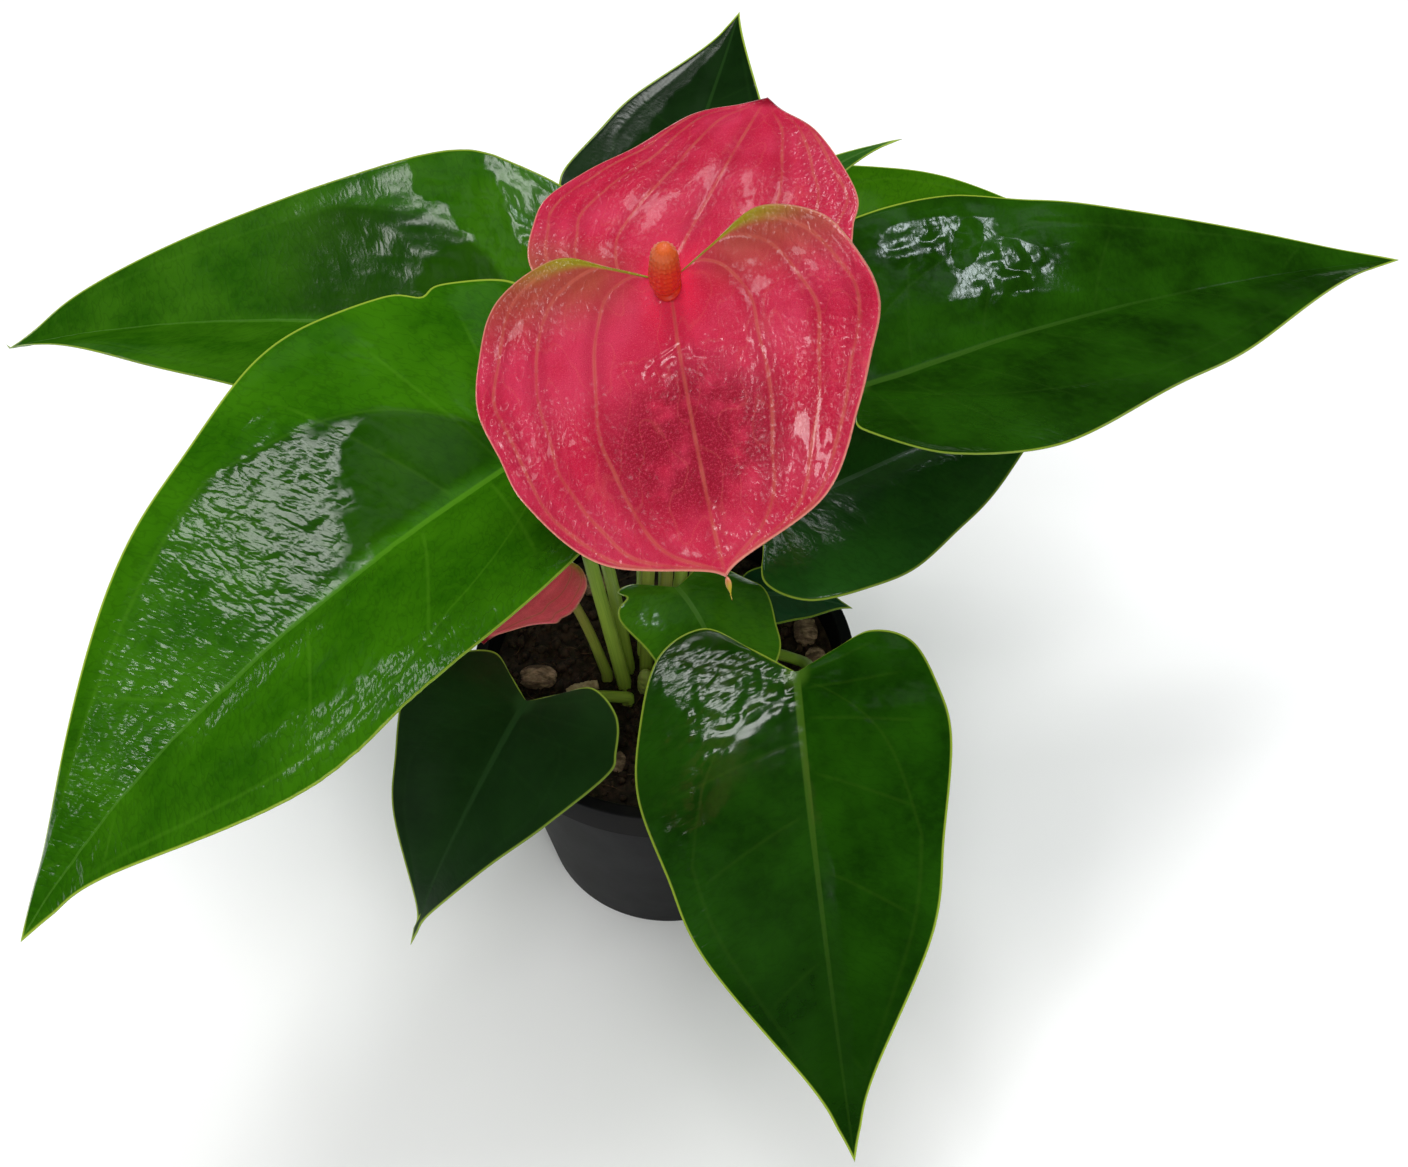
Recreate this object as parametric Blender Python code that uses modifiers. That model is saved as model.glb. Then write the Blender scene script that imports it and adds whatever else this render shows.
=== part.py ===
"""A young flamingo flower (anthurium) growing in a plain nursery pot.

The frame is in metres with +Z up. The origin is the centre of the pot's underside, and someone in front
of the plant looks along +Y. Sizes in the tables below are in millimetres and degrees, and MM turns them
into metres. A blade is any heart-shaped sheet of the plant: a leaf's, or the coloured spathe of a bloom.
"""

import math
from dataclasses import dataclass

import bmesh
import bpy
import numpy as np
from mathutils import Matrix, Vector, noise
from mathutils.bvhtree import BVHTree

MM = 0.001
TOUCH_GAP = 0.3

POT_HEIGHT = 95.0
POT_RIM_RADIUS = 60.0
POT_FOOT_RADIUS = 43.0
POT_WALL = 1.4
POT_LIP_DEPTH = 11.0
POT_LIP_STEP = 2.6
POT_EDGE_ROUND = 0.7
POT_DRAIN_RADIUS = 4.0
POT_DRAIN_RING = 29.0
POT_DRAINS = 6

MIX_DEPTH_BELOW_RIM = 8.0
MIX_WALL_GAP = 0.5
MIX_RELIEF = 1.6
MIX_LUMP_SIZE = 9.0
HOLE_DEPTH = 6.0
HOLE_CLEARANCE = 0.4

LEAF_THICKNESS = 0.8
SPATHE_THICKNESS = 1.0
BLADE_ROWS = 15
BLADE_COLUMNS = 10

# Where an outline has its waist, its taper and the start of its point, as shares of the midrib.
WAIST_AT = 0.58
TAPER_AT = 0.84
POINT_AT = 0.94
SPUR_AT = 0.985
SPUR_HALF_WIDTH = 1.6
# Where the vein to each of an outline's eleven points leaves the midrib, as a share of its length.
RIB_SHARES = (0.0, 0.0, 0.0, 0.02, 0.06, 0.13, 0.25, 0.44, 0.76, 0.91, 1.0)
VEIN_BOW = 1.15
RIPPLE_FADE = 2.5
CURL_SPAN = 50.0
LIFT_SPAN = 20.0

STALK_POINTS = 11
STALK_UPRIGHT = 2.5
SEAT_RISE = 2.5
SEAT_FORWARD = 1.0
SPADIX_GAP = 0.45
SPADIX_NECK = 1.8

CROWN_FOOT = (-6.0, -7.0)
CROWN_RADIUS = 2.6
CROWN_RISE = 9.0
ROOT_STUB = ((-31, -10, 0), (-26, -9, 0.3), (-21, -8, 1.1))
ROOT_STUB_RADIUS = 1.9
CHIP_ROUGHNESS = 0.25
DROP_HEIGHT = 10.0

MIX_TOP = POT_HEIGHT - MIX_DEPTH_BELOW_RIM

POT_BLACK = (0.02, 0.02, 0.02)
PEAT_BROWN = (0.022, 0.012, 0.008)
CROWN_GREEN = (0.24, 0.30, 0.06)
DRY_BEIGE = (0.45, 0.36, 0.20)
BARK_BROWN = (0.33, 0.23, 0.14)
LEAF_BRIGHT = (0.10, 0.30, 0.01)
LEAF_GREEN = (0.02, 0.13, 0.01)
LEAF_DARK = (0.008, 0.06, 0.012)
STALK_GREEN = (0.11, 0.25, 0.03)
SPATHE_PINK = (0.64, 0.03, 0.07)
SPADIX_ORANGE = (0.72, 0.13, 0.05)

Place = tuple[float, float, float]


@dataclass(frozen=True)
class Half:
    """One side of a blade.

    width is from midrib to margin at the widest place, and lobe is how far the side reaches back behind
    the stalk. widest is where along the midrib it is widest, and waist is the share of the width left at
    WAIST_AT. curl is how far the side bends up, in degrees over CURL_SPAN.
    """

    width: float
    lobe: float
    widest: float = 0.20
    waist: float = 0.66
    curl: float = -3.0


@dataclass(frozen=True)
class Blade:
    """A heart-shaped sheet on a midrib that runs from attach to tip and is drawn towards arch.

    Left and right are as seen from the stalk looking to the tip, from above. roll and fold are angles at
    the attach and at the tip: roll tips the blade to its left, and fold lifts both sides into a V.
    lobe_out is how far out the lobes' ends lie and taper the width left at TAPER_AT, as shares of the
    width. lift turns the lobes up behind the stalk. spur is the length of a narrow point past the blade.
    wave is the rise of the margin's ripple, the number of ripples along a side and their start.
    """

    attach: Place
    arch: Place
    tip: Place
    left: Half
    right: Half
    roll: tuple[float, float] = (0.0, 0.0)
    fold: tuple[float, float] = (8.0, 4.0)
    lobe_out: float = 0.55
    taper: float = 0.20
    lift: float = 0.05
    spur: float = 0.0
    wave: tuple[float, float, float] = (0.8, 3.0, 0.0)
    thickness: float = LEAF_THICKNESS


@dataclass(frozen=True)
class Stalk:
    """A stem from its hole in the mix, through route, to the underside of a blade."""

    foot: tuple[float, float]
    route: tuple[Place, ...]
    foot_radius: float = 2.2
    top_radius: float = 1.6


@dataclass(frozen=True)
class Spadix:
    """The stubby spike that stands on a spathe: which way it leans, its length and its radius."""

    lean: Place
    length: float
    radius: float


@dataclass(frozen=True)
class Leaf:
    """A leaf: the colour of its blade, the blade and the stalk that carries it."""

    name: str
    colour: Place
    blade: Blade
    stalk: Stalk


@dataclass(frozen=True)
class Bloom:
    """A bloom: the spathe, the stalk that carries it and the spadix that stands on it."""

    name: str
    blade: Blade
    stalk: Stalk
    spadix: Spadix


@dataclass(frozen=True)
class Chip:
    """A bark chip: its place on the mix, its heading in degrees and its length, width and height."""

    x: float
    y: float
    heading: float
    length: float
    width: float
    height: float


LEAVES = (
    # The big leaf that leans out to the front left.
    Leaf("leaf_1", LEAF_BRIGHT,
         Blade((-28, -18, 206), (-104, -88, 208), (-146, -131, 157),
               Half(60, 16, 0.26, 0.74, 4), Half(64, 24, 0.24, 0.62, 3),
               roll=(-8, 4), fold=(22, 6), lobe_out=0.6, lift=0.2, wave=(1.2, 3.5, 0.1)),
         Stalk((-13, -6), ((-18, -6, 128), (-23, -9, 170)), 2.4, 1.9)),
    # The leaf that reaches out to the left.
    Leaf("leaf_2", LEAF_GREEN,
         Blade((-35, 42, 190), (-124, 48, 199), (-200, 62, 168),
               Half(56, 15, 0.20, 0.70, -1), Half(60, 15, 0.20, 0.58, 9),
               roll=(2, -6), fold=(9, 30), taper=0.25, wave=(1.0, 2.5, 0.4)),
         Stalk((-12, 0.5), ((-16, 6, 125), (-25, 23, 160)), 2.3, 1.8)),
    # The dark leaf at the back and the narrow young one beside it.
    Leaf("leaf_3", LEAF_DARK,
         Blade((-1, 93, 185), (12, 138, 196), (24, 174, 215),
               Half(37, 11, 0.20, 0.64, -2), Half(34, 11, 0.20, 0.58), roll=(-1, 2), fold=(9, 2)),
         Stalk((-7, 5.5), ((-7, 24, 118), (-5, 60, 158)), 2.2, 1.5)),
    Leaf("leaf_4", LEAF_GREEN,
         Blade((22, 76, 198), (49, 88, 219), (70, 92, 222), Half(9, 7), Half(10, 7),
               roll=(3, 5), wave=(0.4, 2, 0)),
         Stalk((-1, 7.5), ((1, 36, 125), (12, 62, 165)), 2.0, 1.3)),
    # The pair that reaches out to the right, the lighter one behind.
    Leaf("leaf_5", LEAF_BRIGHT,
         Blade((33, 88, 180), (93, 105, 186), (148, 111, 165),
               Half(40, 12, curl=-4), Half(40, 12), taper=0.26),
         Stalk((5, 5), ((12, 30, 118), (24, 64, 152)), 2.2, 1.6)),
    Leaf("leaf_6", LEAF_GREEN,
         Blade((51, 0, 208), (139, 59, 195), (227, 87, 182),
               Half(53, 14, 0.33, 0.60), Half(52, 13, 0.20, 0.65, -8),
               roll=(3, -2), fold=(16, 16), lobe_out=0.4, taper=0.22, wave=(1.2, 3.5, 0.6)),
         Stalk((0, 1.8), ((5, 12, 118), (8, 15, 152), (28, 9, 188)), 2.3, 1.8)),
    # The low leaves in the shade: right, front left, front and the dark sliver under the right one.
    Leaf("leaf_7", LEAF_DARK,
         Blade((30, 8, 150), (79, 36, 155), (129, 62, 150),
               Half(30, 9, 0.20, 0.68), Half(40, 13, 0.23, 0.63, -6), roll=(-2, -2), fold=(7, 3)),
         Stalk((6.5, -1), ((12, 12, 104), (21, 22, 128)), 2.2, 1.6)),
    Leaf("leaf_8", LEAF_DARK,
         Blade((-39, -36, 120), (-59, -75, 112), (-72, -91, 77),
               Half(36, 10, 0.15, 0.40), Half(34, 10, 0.20, 0.60),
               roll=(-6, -6), lobe_out=0.5, taper=0.08, wave=(0.5, 3, 0.3)),
         Stalk((-11.5, -12.5), ((-24, -19, 99), (-35, -29, 107)), 2.1, 1.4)),
    Leaf("leaf_9", LEAF_GREEN,
         Blade((38, -39, 138), (41, -97, 128), (51, -156, 85),
               Half(40, 9, 0.20, 0.70, 1), Half(46, 15, 0.25, 0.70, -5),
               roll=(-7, -4), fold=(8, 5), lift=0.07, wave=(0.6, 4, 0.2)),
         Stalk((6, -7.5), ((24, 0, 97), (42, -6, 100), (44, -24, 117)), 2.2, 1.6)),
    Leaf("leaf_10", LEAF_BRIGHT,
         Blade((4, 1, 127), (17, -18, 128), (22, -44, 114),
               Half(26, 6, 0.20, 0.76, -5), Half(25, 5, 0.18, 0.70, -2),
               roll=(20, 6), fold=(3, 4), taper=0.23, wave=(0.8, 3, 0.5)),
         Stalk((0, -10.5), ((1, -5, 106),), 2.1, 1.5)),
    Leaf("leaf_11", LEAF_DARK,
         Blade((28, 12, 110), (44, 12, 112), (59, 10, 106), Half(11, 4), Half(13, 4), wave=(0.3, 2, 0)),
         Stalk((10.8, 4), ((18, 8, 94), (25, 11, 102)), 1.8, 1.2)),
)

BLOOMS = (
    Bloom("front",
          Blade((5, -38, 275), (10, -69, 256), (18, -100, 244),
                Half(44, 10, 0.26, 0.80, -1), Half(48, 11, 0.25, 0.85, -4),
                roll=(-26, -23), fold=(5, -4), lobe_out=0.52, taper=0.54, lift=0.02, spur=5.5,
                wave=(0.6, 4, 0.3), thickness=SPATHE_THICKNESS),
          Stalk((-6, -0.5), ((-5, 7, 122), (-1, 3, 170), (4, -18, 240)), 2.2, 2.0),
          Spadix((0, -0.4, 0.92), 17, 3.3)),
    Bloom("rear",
          Blade((2, 10, 236), (16, 46, 242), (30, 82, 242),
                Half(41, 14, 0.25, 0.67, -7), Half(42, 14, 0.27, 0.86, -4),
                roll=(0, 5), fold=(4, -1), taper=0.45, wave=(0.6, 3, 0.1), thickness=SPATHE_THICKNESS),
          Stalk((-1, -4), ((-1, 3, 105), (1, 10, 125), (3, 12, 180)), 2.1, 1.8),
          Spadix((0.1, -0.5, 0.86), 15, 2.8)),
    Bloom("low",
          Blade((-33, -2, 148), (-52, -15, 144), (-50, -29, 138),
                Half(23, 4, 0.27, 0.86, -4), Half(20, 5, 0.27, 0.86),
                fold=(2, 2), taper=0.43, wave=(0.3, 2, 0), thickness=SPATHE_THICKNESS),
          Stalk((-18.5, -3), ((-24, -3, 115),), 1.9, 1.4),
          Spadix((0.1, -0.2, 0.97), 8, 1.7)),
)

BARK_CHIPS = (
    Chip(-40, -5, 20, 11, 8, 5),
    Chip(45, 15, 70, 14, 7, 4),
    Chip(48, 3, 130, 9, 6, 4),
    Chip(-24, 34, 40, 12, 7, 4),
    Chip(-14, -36, 100, 8, 5, 3),
)


def catmull_rom(points: np.ndarray, shares: np.ndarray) -> np.ndarray:
    """Read a smooth curve through evenly keyed points at shares from 0 to 1."""
    first = 2 * points[:1] - points[1:2]
    last = 2 * points[-1:] - points[-2:-1]
    keys = np.vstack([first, points, last])
    place = np.clip(shares * (len(points) - 1), 0, len(points) - 1 - 1e-9)
    start = place.astype(int)
    f = (place - start).reshape(-1, 1)
    a, b, c, d = (keys[start + step] for step in range(4))
    return 0.5 * (2 * b + (c - a) * f + (2 * a - 5 * b + 4 * c - d) * f**2 + (3 * b - a - 3 * c + d) * f**3)


def unit(vectors: np.ndarray) -> np.ndarray:
    """Scale each vector to length 1."""
    return vectors / np.linalg.norm(vectors, axis=-1, keepdims=True)


def half_outline(half: Half, length: float, blade: Blade) -> np.ndarray:
    """List the eleven points that shape one side's margin, from the attach round the lobe to the tip."""
    width, lobe, out = half.width, half.lobe, blade.lobe_out
    body = length - blade.spur
    shoulder_at = (half.widest + WAIST_AT) / 2
    near_tip = (POINT_AT * body, 0.32 * blade.taper * width)
    if blade.spur:
        near_tip = (SPUR_AT * body, SPUR_HALF_WIDTH)
    return np.array([
        (0.0, 0.0),
        (-0.55 * lobe, 0.5 * out * width),
        (-lobe, out * width),
        (-0.45 * lobe, (0.62 + 0.38 * out) * width),
        (0.42 * half.widest * body, 0.965 * width),
        (half.widest * body, width),
        (shoulder_at * body, (0.55 + 0.45 * half.waist) * width),
        (WAIST_AT * body, half.waist * width),
        (TAPER_AT * body, blade.taper * width),
        near_tip,
        (length, 0.0),
    ])


class Surface:
    """The middle surface of a blade, in millimetres."""

    SAMPLES = 200

    def __init__(self, blade: Blade) -> None:
        """Measure the midrib, which is a curve of three control points."""
        self.blade = blade
        attach, arch, tip = (np.array(point, float) for point in (blade.attach, blade.arch, blade.tip))
        t = np.linspace(0, 1, self.SAMPLES).reshape(-1, 1)
        self.line = (1 - t) ** 2 * attach + 2 * t * (1 - t) * arch + t**2 * tip
        self.heading = unit((1 - t) * (arch - attach) + t * (tip - arch))
        steps = np.linalg.norm(np.diff(self.line, axis=0), axis=1)
        self.reach = np.concatenate([[0.0], np.cumsum(steps)])
        self.length = self.reach[-1]

    def read(self, table: np.ndarray, along: np.ndarray) -> np.ndarray:
        """Read a table of vectors kept for each sample of the midrib."""
        return np.stack([np.interp(along, self.reach, table[:, axis]) for axis in range(3)], -1)

    def frame(self, along: np.ndarray) -> tuple[np.ndarray, np.ndarray, np.ndarray]:
        """Give the midrib's point, its left side and its upward normal, also behind the attach."""
        inside = np.clip(along, 0, self.length)
        ahead = unit(self.read(self.heading, inside))
        up = np.array([0.0, 0.0, 1.0])
        normal = unit(up - (ahead @ up)[:, None] * ahead)
        side = np.cross(normal, ahead)
        share = (inside / self.length)[:, None]
        roll = np.radians(self.blade.roll[0] + (self.blade.roll[1] - self.blade.roll[0]) * share)
        tipped = normal * np.cos(roll) + side * np.sin(roll)
        side = side * np.cos(roll) - normal * np.sin(roll)
        behind = np.minimum(along, 0)[:, None]
        rise = tipped * self.blade.lift * behind**2 / LIFT_SPAN
        return self.read(self.line, inside) + ahead * behind + rise, side, tipped

    def bend(self, along: np.ndarray, across: np.ndarray) -> np.ndarray:
        """Place flat points in space: along the midrib, and across it to the left."""
        point, side, normal = self.frame(along)
        distance = np.abs(across)
        share = np.clip(along / self.length, 0, 1)
        fold = np.radians(self.blade.fold[0] + (self.blade.fold[1] - self.blade.fold[0]) * share)
        curl = np.where(across >= 0, self.blade.left.curl, self.blade.right.curl) + 1e-4
        curl = np.radians(curl) / CURL_SPAN
        out = (np.sin(fold + curl * distance) - np.sin(fold)) / curl
        rise = (np.cos(fold) - np.cos(fold + curl * distance)) / curl
        return point + side * (np.sign(across) * out)[:, None] + normal * rise[:, None]

    def points(self, row: np.ndarray, column: np.ndarray) -> np.ndarray:
        """Place grid points: row runs from attach to tip round the margin, column from right to left."""
        left = catmull_rom(half_outline(self.blade.left, self.length, self.blade), row)
        right = catmull_rom(half_outline(self.blade.right, self.length, self.blade), row)
        margin = np.where((column >= 0)[:, None], left, right)
        root = np.maximum(catmull_rom(np.array(RIB_SHARES).reshape(-1, 1), row)[:, 0], 0) * self.length
        out = np.abs(column)
        along = root + (margin[:, 0] - root) * out**VEIN_BOW
        across = margin[:, 1] * column
        rise, count, start = self.blade.wave
        ripple = np.sin(2 * math.pi * (count * row + start + 0.25 * np.sign(column)))
        fade = np.sin(math.pi * row) * out**RIPPLE_FADE
        _, _, normal = self.frame(along)
        return self.bend(along, across) + normal * (rise * ripple * fade)[:, None]

    def seat(self) -> tuple[np.ndarray, np.ndarray]:
        """Give the place just ahead of the attach where a stalk or spadix meets the blade."""
        point, _, normal = self.frame(np.array([SEAT_FORWARD]))
        return point[0], normal[0]


def material(name: str, colour: Place, roughness: float) -> bpy.types.Material:
    """Make or reuse a plain Principled material."""
    found = bpy.data.materials.get(name)
    if found:
        return found
    made = bpy.data.materials.new(name)
    made.use_nodes = True
    shader = made.node_tree.nodes["Principled BSDF"]
    shader.inputs["Base Color"].default_value = (*colour, 1.0)
    shader.inputs["Roughness"].default_value = roughness
    shader.inputs["Metallic"].default_value = 0.0
    made.diffuse_color = (*colour, 1.0)
    return made


class Model:
    """The collections and the parent empty that every piece goes under."""

    def __init__(self) -> None:
        """Clear the scene and make the collections."""
        for item in list(bpy.data.objects):
            bpy.data.objects.remove(item)
        self.pieces = self.collection("potted_flamingo_flower")
        self.cutters = self.collection("cutters")
        self.root = bpy.data.objects.new("plant_frame", None)
        self.pieces.objects.link(self.root)

    @staticmethod
    def collection(name: str) -> bpy.types.Collection:
        """Link a new collection to the scene."""
        made = bpy.data.collections.new(name)
        bpy.context.scene.collection.children.link(made)
        return made

    def add(self, name: str, data: bpy.types.ID, finish: bpy.types.Material,
            place: Place = (0.0, 0.0, 0.0)) -> bpy.types.Object:
        """Add a piece at a place in millimetres."""
        data.materials.append(finish)
        piece = bpy.data.objects.new(name, data)
        piece.location = Vector(place) * MM
        piece.parent = self.root
        self.pieces.objects.link(piece)
        return piece

    def cut(self, piece: bpy.types.Object, cutter_mesh: bpy.types.Mesh) -> None:
        """Cut a mesh out of a piece with a Boolean that stays on it."""
        cutter = bpy.data.objects.new(piece.name + "_cutter", cutter_mesh)
        cutter.hide_render = True
        cutter.display_type = "WIRE"
        self.cutters.objects.link(cutter)
        modifier = piece.modifiers.new("holes", "BOOLEAN")
        modifier.operation = "DIFFERENCE"
        modifier.solver = "EXACT"
        modifier.object = cutter


def to_mesh(name: str, shape: bmesh.types.BMesh, smooth: bool = True) -> bpy.types.Mesh:
    """Turn a bmesh in millimetres into a mesh in metres."""
    bmesh.ops.scale(shape, vec=Vector((MM, MM, MM)), verts=shape.verts)
    mesh = bpy.data.meshes.new(name)
    shape.to_mesh(mesh)
    shape.free()
    if smooth:
        mesh.shade_smooth()
    return mesh


def turned(profile: list[tuple[float, float]], steps: int) -> bmesh.types.BMesh:
    """Turn a profile of radius and height about Z, from the axis back to the axis."""
    shape = bmesh.new()
    ring = [shape.verts.new((radius, 0.0, height)) for radius, height in profile]
    edges = [shape.edges.new(pair) for pair in zip(ring, ring[1:])]
    bmesh.ops.spin(shape, geom=ring + edges, axis=(0, 0, 1), cent=(0, 0, 0), steps=steps,
                   angle=2 * math.pi, use_merge=True)
    bmesh.ops.remove_doubles(shape, verts=shape.verts, dist=0.01)
    bmesh.ops.recalc_face_normals(shape, faces=shape.faces)
    return shape


def drill_bits(places: list[Place], bottom: float, top: float) -> bpy.types.Mesh:
    """Make one upright round cutter at each x, y and radius."""
    shape = bmesh.new()
    for x, y, radius in places:
        made = bmesh.ops.create_cone(shape, cap_ends=True, segments=12, radius1=radius, radius2=radius,
                                     depth=top - bottom)
        bmesh.ops.translate(shape, verts=made["verts"], vec=(x, y, (top + bottom) / 2))
    return to_mesh("drill_bits", shape, smooth=False)


def wall_radius(height: float) -> float:
    """Give the pot body's outer radius at a height."""
    body_top = POT_RIM_RADIUS - POT_LIP_STEP
    return POT_FOOT_RADIUS + (body_top - POT_FOOT_RADIUS) * height / POT_HEIGHT


def inner_radius(height: float) -> float:
    """Give the pot body's inner radius at a height."""
    return wall_radius(height) - POT_WALL


def make_pot(model: Model) -> None:
    """Make the tapered pot: one wall, a turned-down lip and drainage holes round the floor."""
    lip_foot = POT_HEIGHT - POT_LIP_DEPTH
    lip_inside = POT_RIM_RADIUS - POT_WALL
    under_lip = POT_HEIGHT - POT_WALL
    mouth = inner_radius(POT_HEIGHT)
    profile = [
        (0, POT_WALL),
        (inner_radius(POT_WALL), POT_WALL),
        (mouth, POT_HEIGHT - POT_EDGE_ROUND),
        (mouth + POT_EDGE_ROUND, POT_HEIGHT),
        (POT_RIM_RADIUS - POT_EDGE_ROUND, POT_HEIGHT),
        (POT_RIM_RADIUS, POT_HEIGHT - POT_EDGE_ROUND),
        (POT_RIM_RADIUS, lip_foot),
        (lip_inside, lip_foot),
        (lip_inside, under_lip),
        (wall_radius(under_lip), under_lip),
        (wall_radius(POT_EDGE_ROUND), POT_EDGE_ROUND),
        (wall_radius(0) - POT_EDGE_ROUND, 0),
        (0, 0),
    ]
    pot = model.add("pot", to_mesh("pot", turned(profile, 48)), material("pot_black", POT_BLACK, 0.5))
    angles = [2 * math.pi * (index + 0.5) / POT_DRAINS for index in range(POT_DRAINS)]
    ring = [(POT_DRAIN_RING * math.cos(angle), POT_DRAIN_RING * math.sin(angle)) for angle in angles]
    model.cut(pot, drill_bits([(x, y, POT_DRAIN_RADIUS) for x, y in ring], -POT_WALL, 2 * POT_WALL))


def mix_relief(x: float, y: float) -> float:
    """Give the height of the lumpy mix above its mean level, fading out at the pot wall."""
    edge = math.hypot(x, y) / wall_radius(MIX_TOP)
    lumps = noise.fractal(Vector((x, y, 0)) / MIX_LUMP_SIZE, 0.7, 2.0, 3)
    return MIX_RELIEF * max(-1.0, min(1.0, lumps)) * max(0.0, 1.0 - edge**6)


def make_potting_mix(model: Model) -> BVHTree:
    """Make the peat that fills the pot, with a plain hole for each stalk, and give back its surface."""
    floor = POT_WALL + TOUCH_GAP
    foot = inner_radius(floor) - MIX_WALL_GAP
    edge = inner_radius(MIX_TOP) - MIX_WALL_GAP
    rings = [(edge * share, MIX_TOP) for share in (0.98, 0.88, 0.76, 0.64, 0.52, 0.4, 0.27, 0.14, 0)]
    profile = [(0, floor), (foot, floor), (edge, MIX_TOP - MIX_RELIEF), *rings]
    shape = turned(profile, 40)
    for vertex in shape.verts:
        if vertex.co.z > MIX_TOP - MIX_RELIEF / 2:
            vertex.co.z += mix_relief(vertex.co.x, vertex.co.y)
    bmesh.ops.triangulate(shape, faces=shape.faces)
    ground = BVHTree.FromBMesh(shape)
    mix = model.add("potting_mix", to_mesh("potting_mix", shape), material("peat", PEAT_BROWN, 0.95))
    holes = [(*grown.stalk.foot, grown.stalk.foot_radius + HOLE_CLEARANCE) for grown in (*LEAVES, *BLOOMS)]
    holes.append((*CROWN_FOOT, CROWN_RADIUS + HOLE_CLEARANCE))
    model.cut(mix, drill_bits(holes, MIX_TOP - HOLE_DEPTH, MIX_TOP + HOLE_DEPTH))
    return ground


def drop_to(ground: BVHTree, points: list[Vector]) -> float:
    """Give how far points can sink before the first of them lies TOUCH_GAP above the ground."""
    down = Vector((0, 0, -1))
    return min(ground.ray_cast(point, down)[3] for point in points) - TOUCH_GAP


def make_blade(model: Model, blade: Blade, name: str, finish: bpy.types.Material) -> None:
    """Make a blade as a grid bent onto its surface, split into triangles and given its thickness."""
    shape = bmesh.new()
    bmesh.ops.create_grid(shape, x_segments=BLADE_ROWS, y_segments=BLADE_COLUMNS, size=0.5)
    flat = np.array([vertex.co for vertex in shape.verts])
    placed = Surface(blade).points(flat[:, 0] + 0.5, flat[:, 1] * 2) - np.array(blade.attach)
    for vertex, point in zip(shape.verts, placed):
        vertex.co = point
    bmesh.ops.remove_doubles(shape, verts=shape.verts, dist=0.005)
    bmesh.ops.triangulate(shape, faces=shape.faces)
    piece = model.add(name, to_mesh(name, shape), finish, blade.attach)
    solid = piece.modifiers.new("thickness", "SOLIDIFY")
    solid.thickness = blade.thickness * MM
    solid.offset = 0.0


def make_tube(model: Model, name: str, line: np.ndarray, radii: np.ndarray,
              finish: bpy.types.Material) -> None:
    """Make a round stem along a line of points in millimetres, with a radius at each point."""
    curve = bpy.data.curves.new(name, "CURVE")
    curve.dimensions = "3D"
    curve.bevel_depth = MM
    curve.bevel_resolution = 2
    curve.use_fill_caps = True
    spline = curve.splines.new("POLY")
    spline.points.add(len(line) - 1)
    for knot, point, radius in zip(spline.points, line, radii):
        knot.co = (*(point * MM), 1.0)
        knot.radius = radius
    model.add(name, curve, finish)


def make_stalk(model: Model, stalk: Stalk, blade: Blade, name: str) -> None:
    """Make a stalk that stands upright in its hole, follows its route and meets the blade squarely."""
    seat, normal = Surface(blade).seat()
    top = seat - normal * (blade.thickness / 2 + TOUCH_GAP)
    x, y = stalk.foot
    route = np.array([(x, y, MIX_TOP + STALK_UPRIGHT), *stalk.route, top - normal * SEAT_RISE], float)
    bend = catmull_rom(route, np.linspace(0, 1, STALK_POINTS - 2))
    line = np.vstack([[(x, y, MIX_TOP - HOLE_DEPTH + TOUCH_GAP)], bend, [top]])
    share = np.linspace(0, 1, len(line))
    radii = stalk.top_radius + (stalk.foot_radius - stalk.top_radius) * (1 - share) ** 2
    make_tube(model, name, line, radii, material("stalk_green", STALK_GREEN, 0.4))


def make_spadix(model: Model, spadix: Spadix, blade: Blade, name: str) -> None:
    """Make the spike as a round-ended rod that stands on the spathe."""
    seat, normal = Surface(blade).seat()
    lean = unit(np.array(spadix.lean))
    foot = seat + normal * (blade.thickness / 2 + SPADIX_GAP)
    neck = foot + normal * SPADIX_NECK
    root = np.vstack([foot, foot + normal * SPADIX_NECK / 3, neck])
    shares = np.array([0.1, 0.5, 0.75, 0.93, 1.0])
    line = np.vstack([root, neck + np.outer(shares, lean) * (spadix.length - SPADIX_NECK)])
    radii = spadix.radius * np.array([0.5, 0.62, 0.8, 1.0, 1.0, 0.93, 0.62, 0.2])
    make_tube(model, name, line, radii, material("spadix_orange", SPADIX_ORANGE, 0.35))


def make_crown(model: Model) -> None:
    """Make the short rootstock among the stalks."""
    x, y = CROWN_FOOT
    heights = (TOUCH_GAP - HOLE_DEPTH, 0.0, CROWN_RISE * 0.5, CROWN_RISE * 0.85, CROWN_RISE)
    line = np.array([(x, y, MIX_TOP + height) for height in heights])
    radii = CROWN_RADIUS * np.array([1.0, 1.0, 0.95, 0.7, 0.3])
    make_tube(model, "crown", line, radii, material("crown_green", CROWN_GREEN, 0.5))


def make_root_stub(model: Model, ground: BVHTree) -> None:
    """Make the dry root stub that lies beside the crown."""
    line = catmull_rom(np.array(ROOT_STUB, float), np.linspace(0, 1, 5))
    line[:, 2] += MIX_TOP + DROP_HEIGHT
    radii = ROOT_STUB_RADIUS * np.array([0.5, 0.85, 1.0, 0.95, 0.8])
    line[:, 2] -= drop_to(ground, [Vector((x, y, z - radius)) for (x, y, z), radius in zip(line, radii)])
    make_tube(model, "root_stub", line, radii, material("dry_beige", DRY_BEIGE, 0.7))


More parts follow.
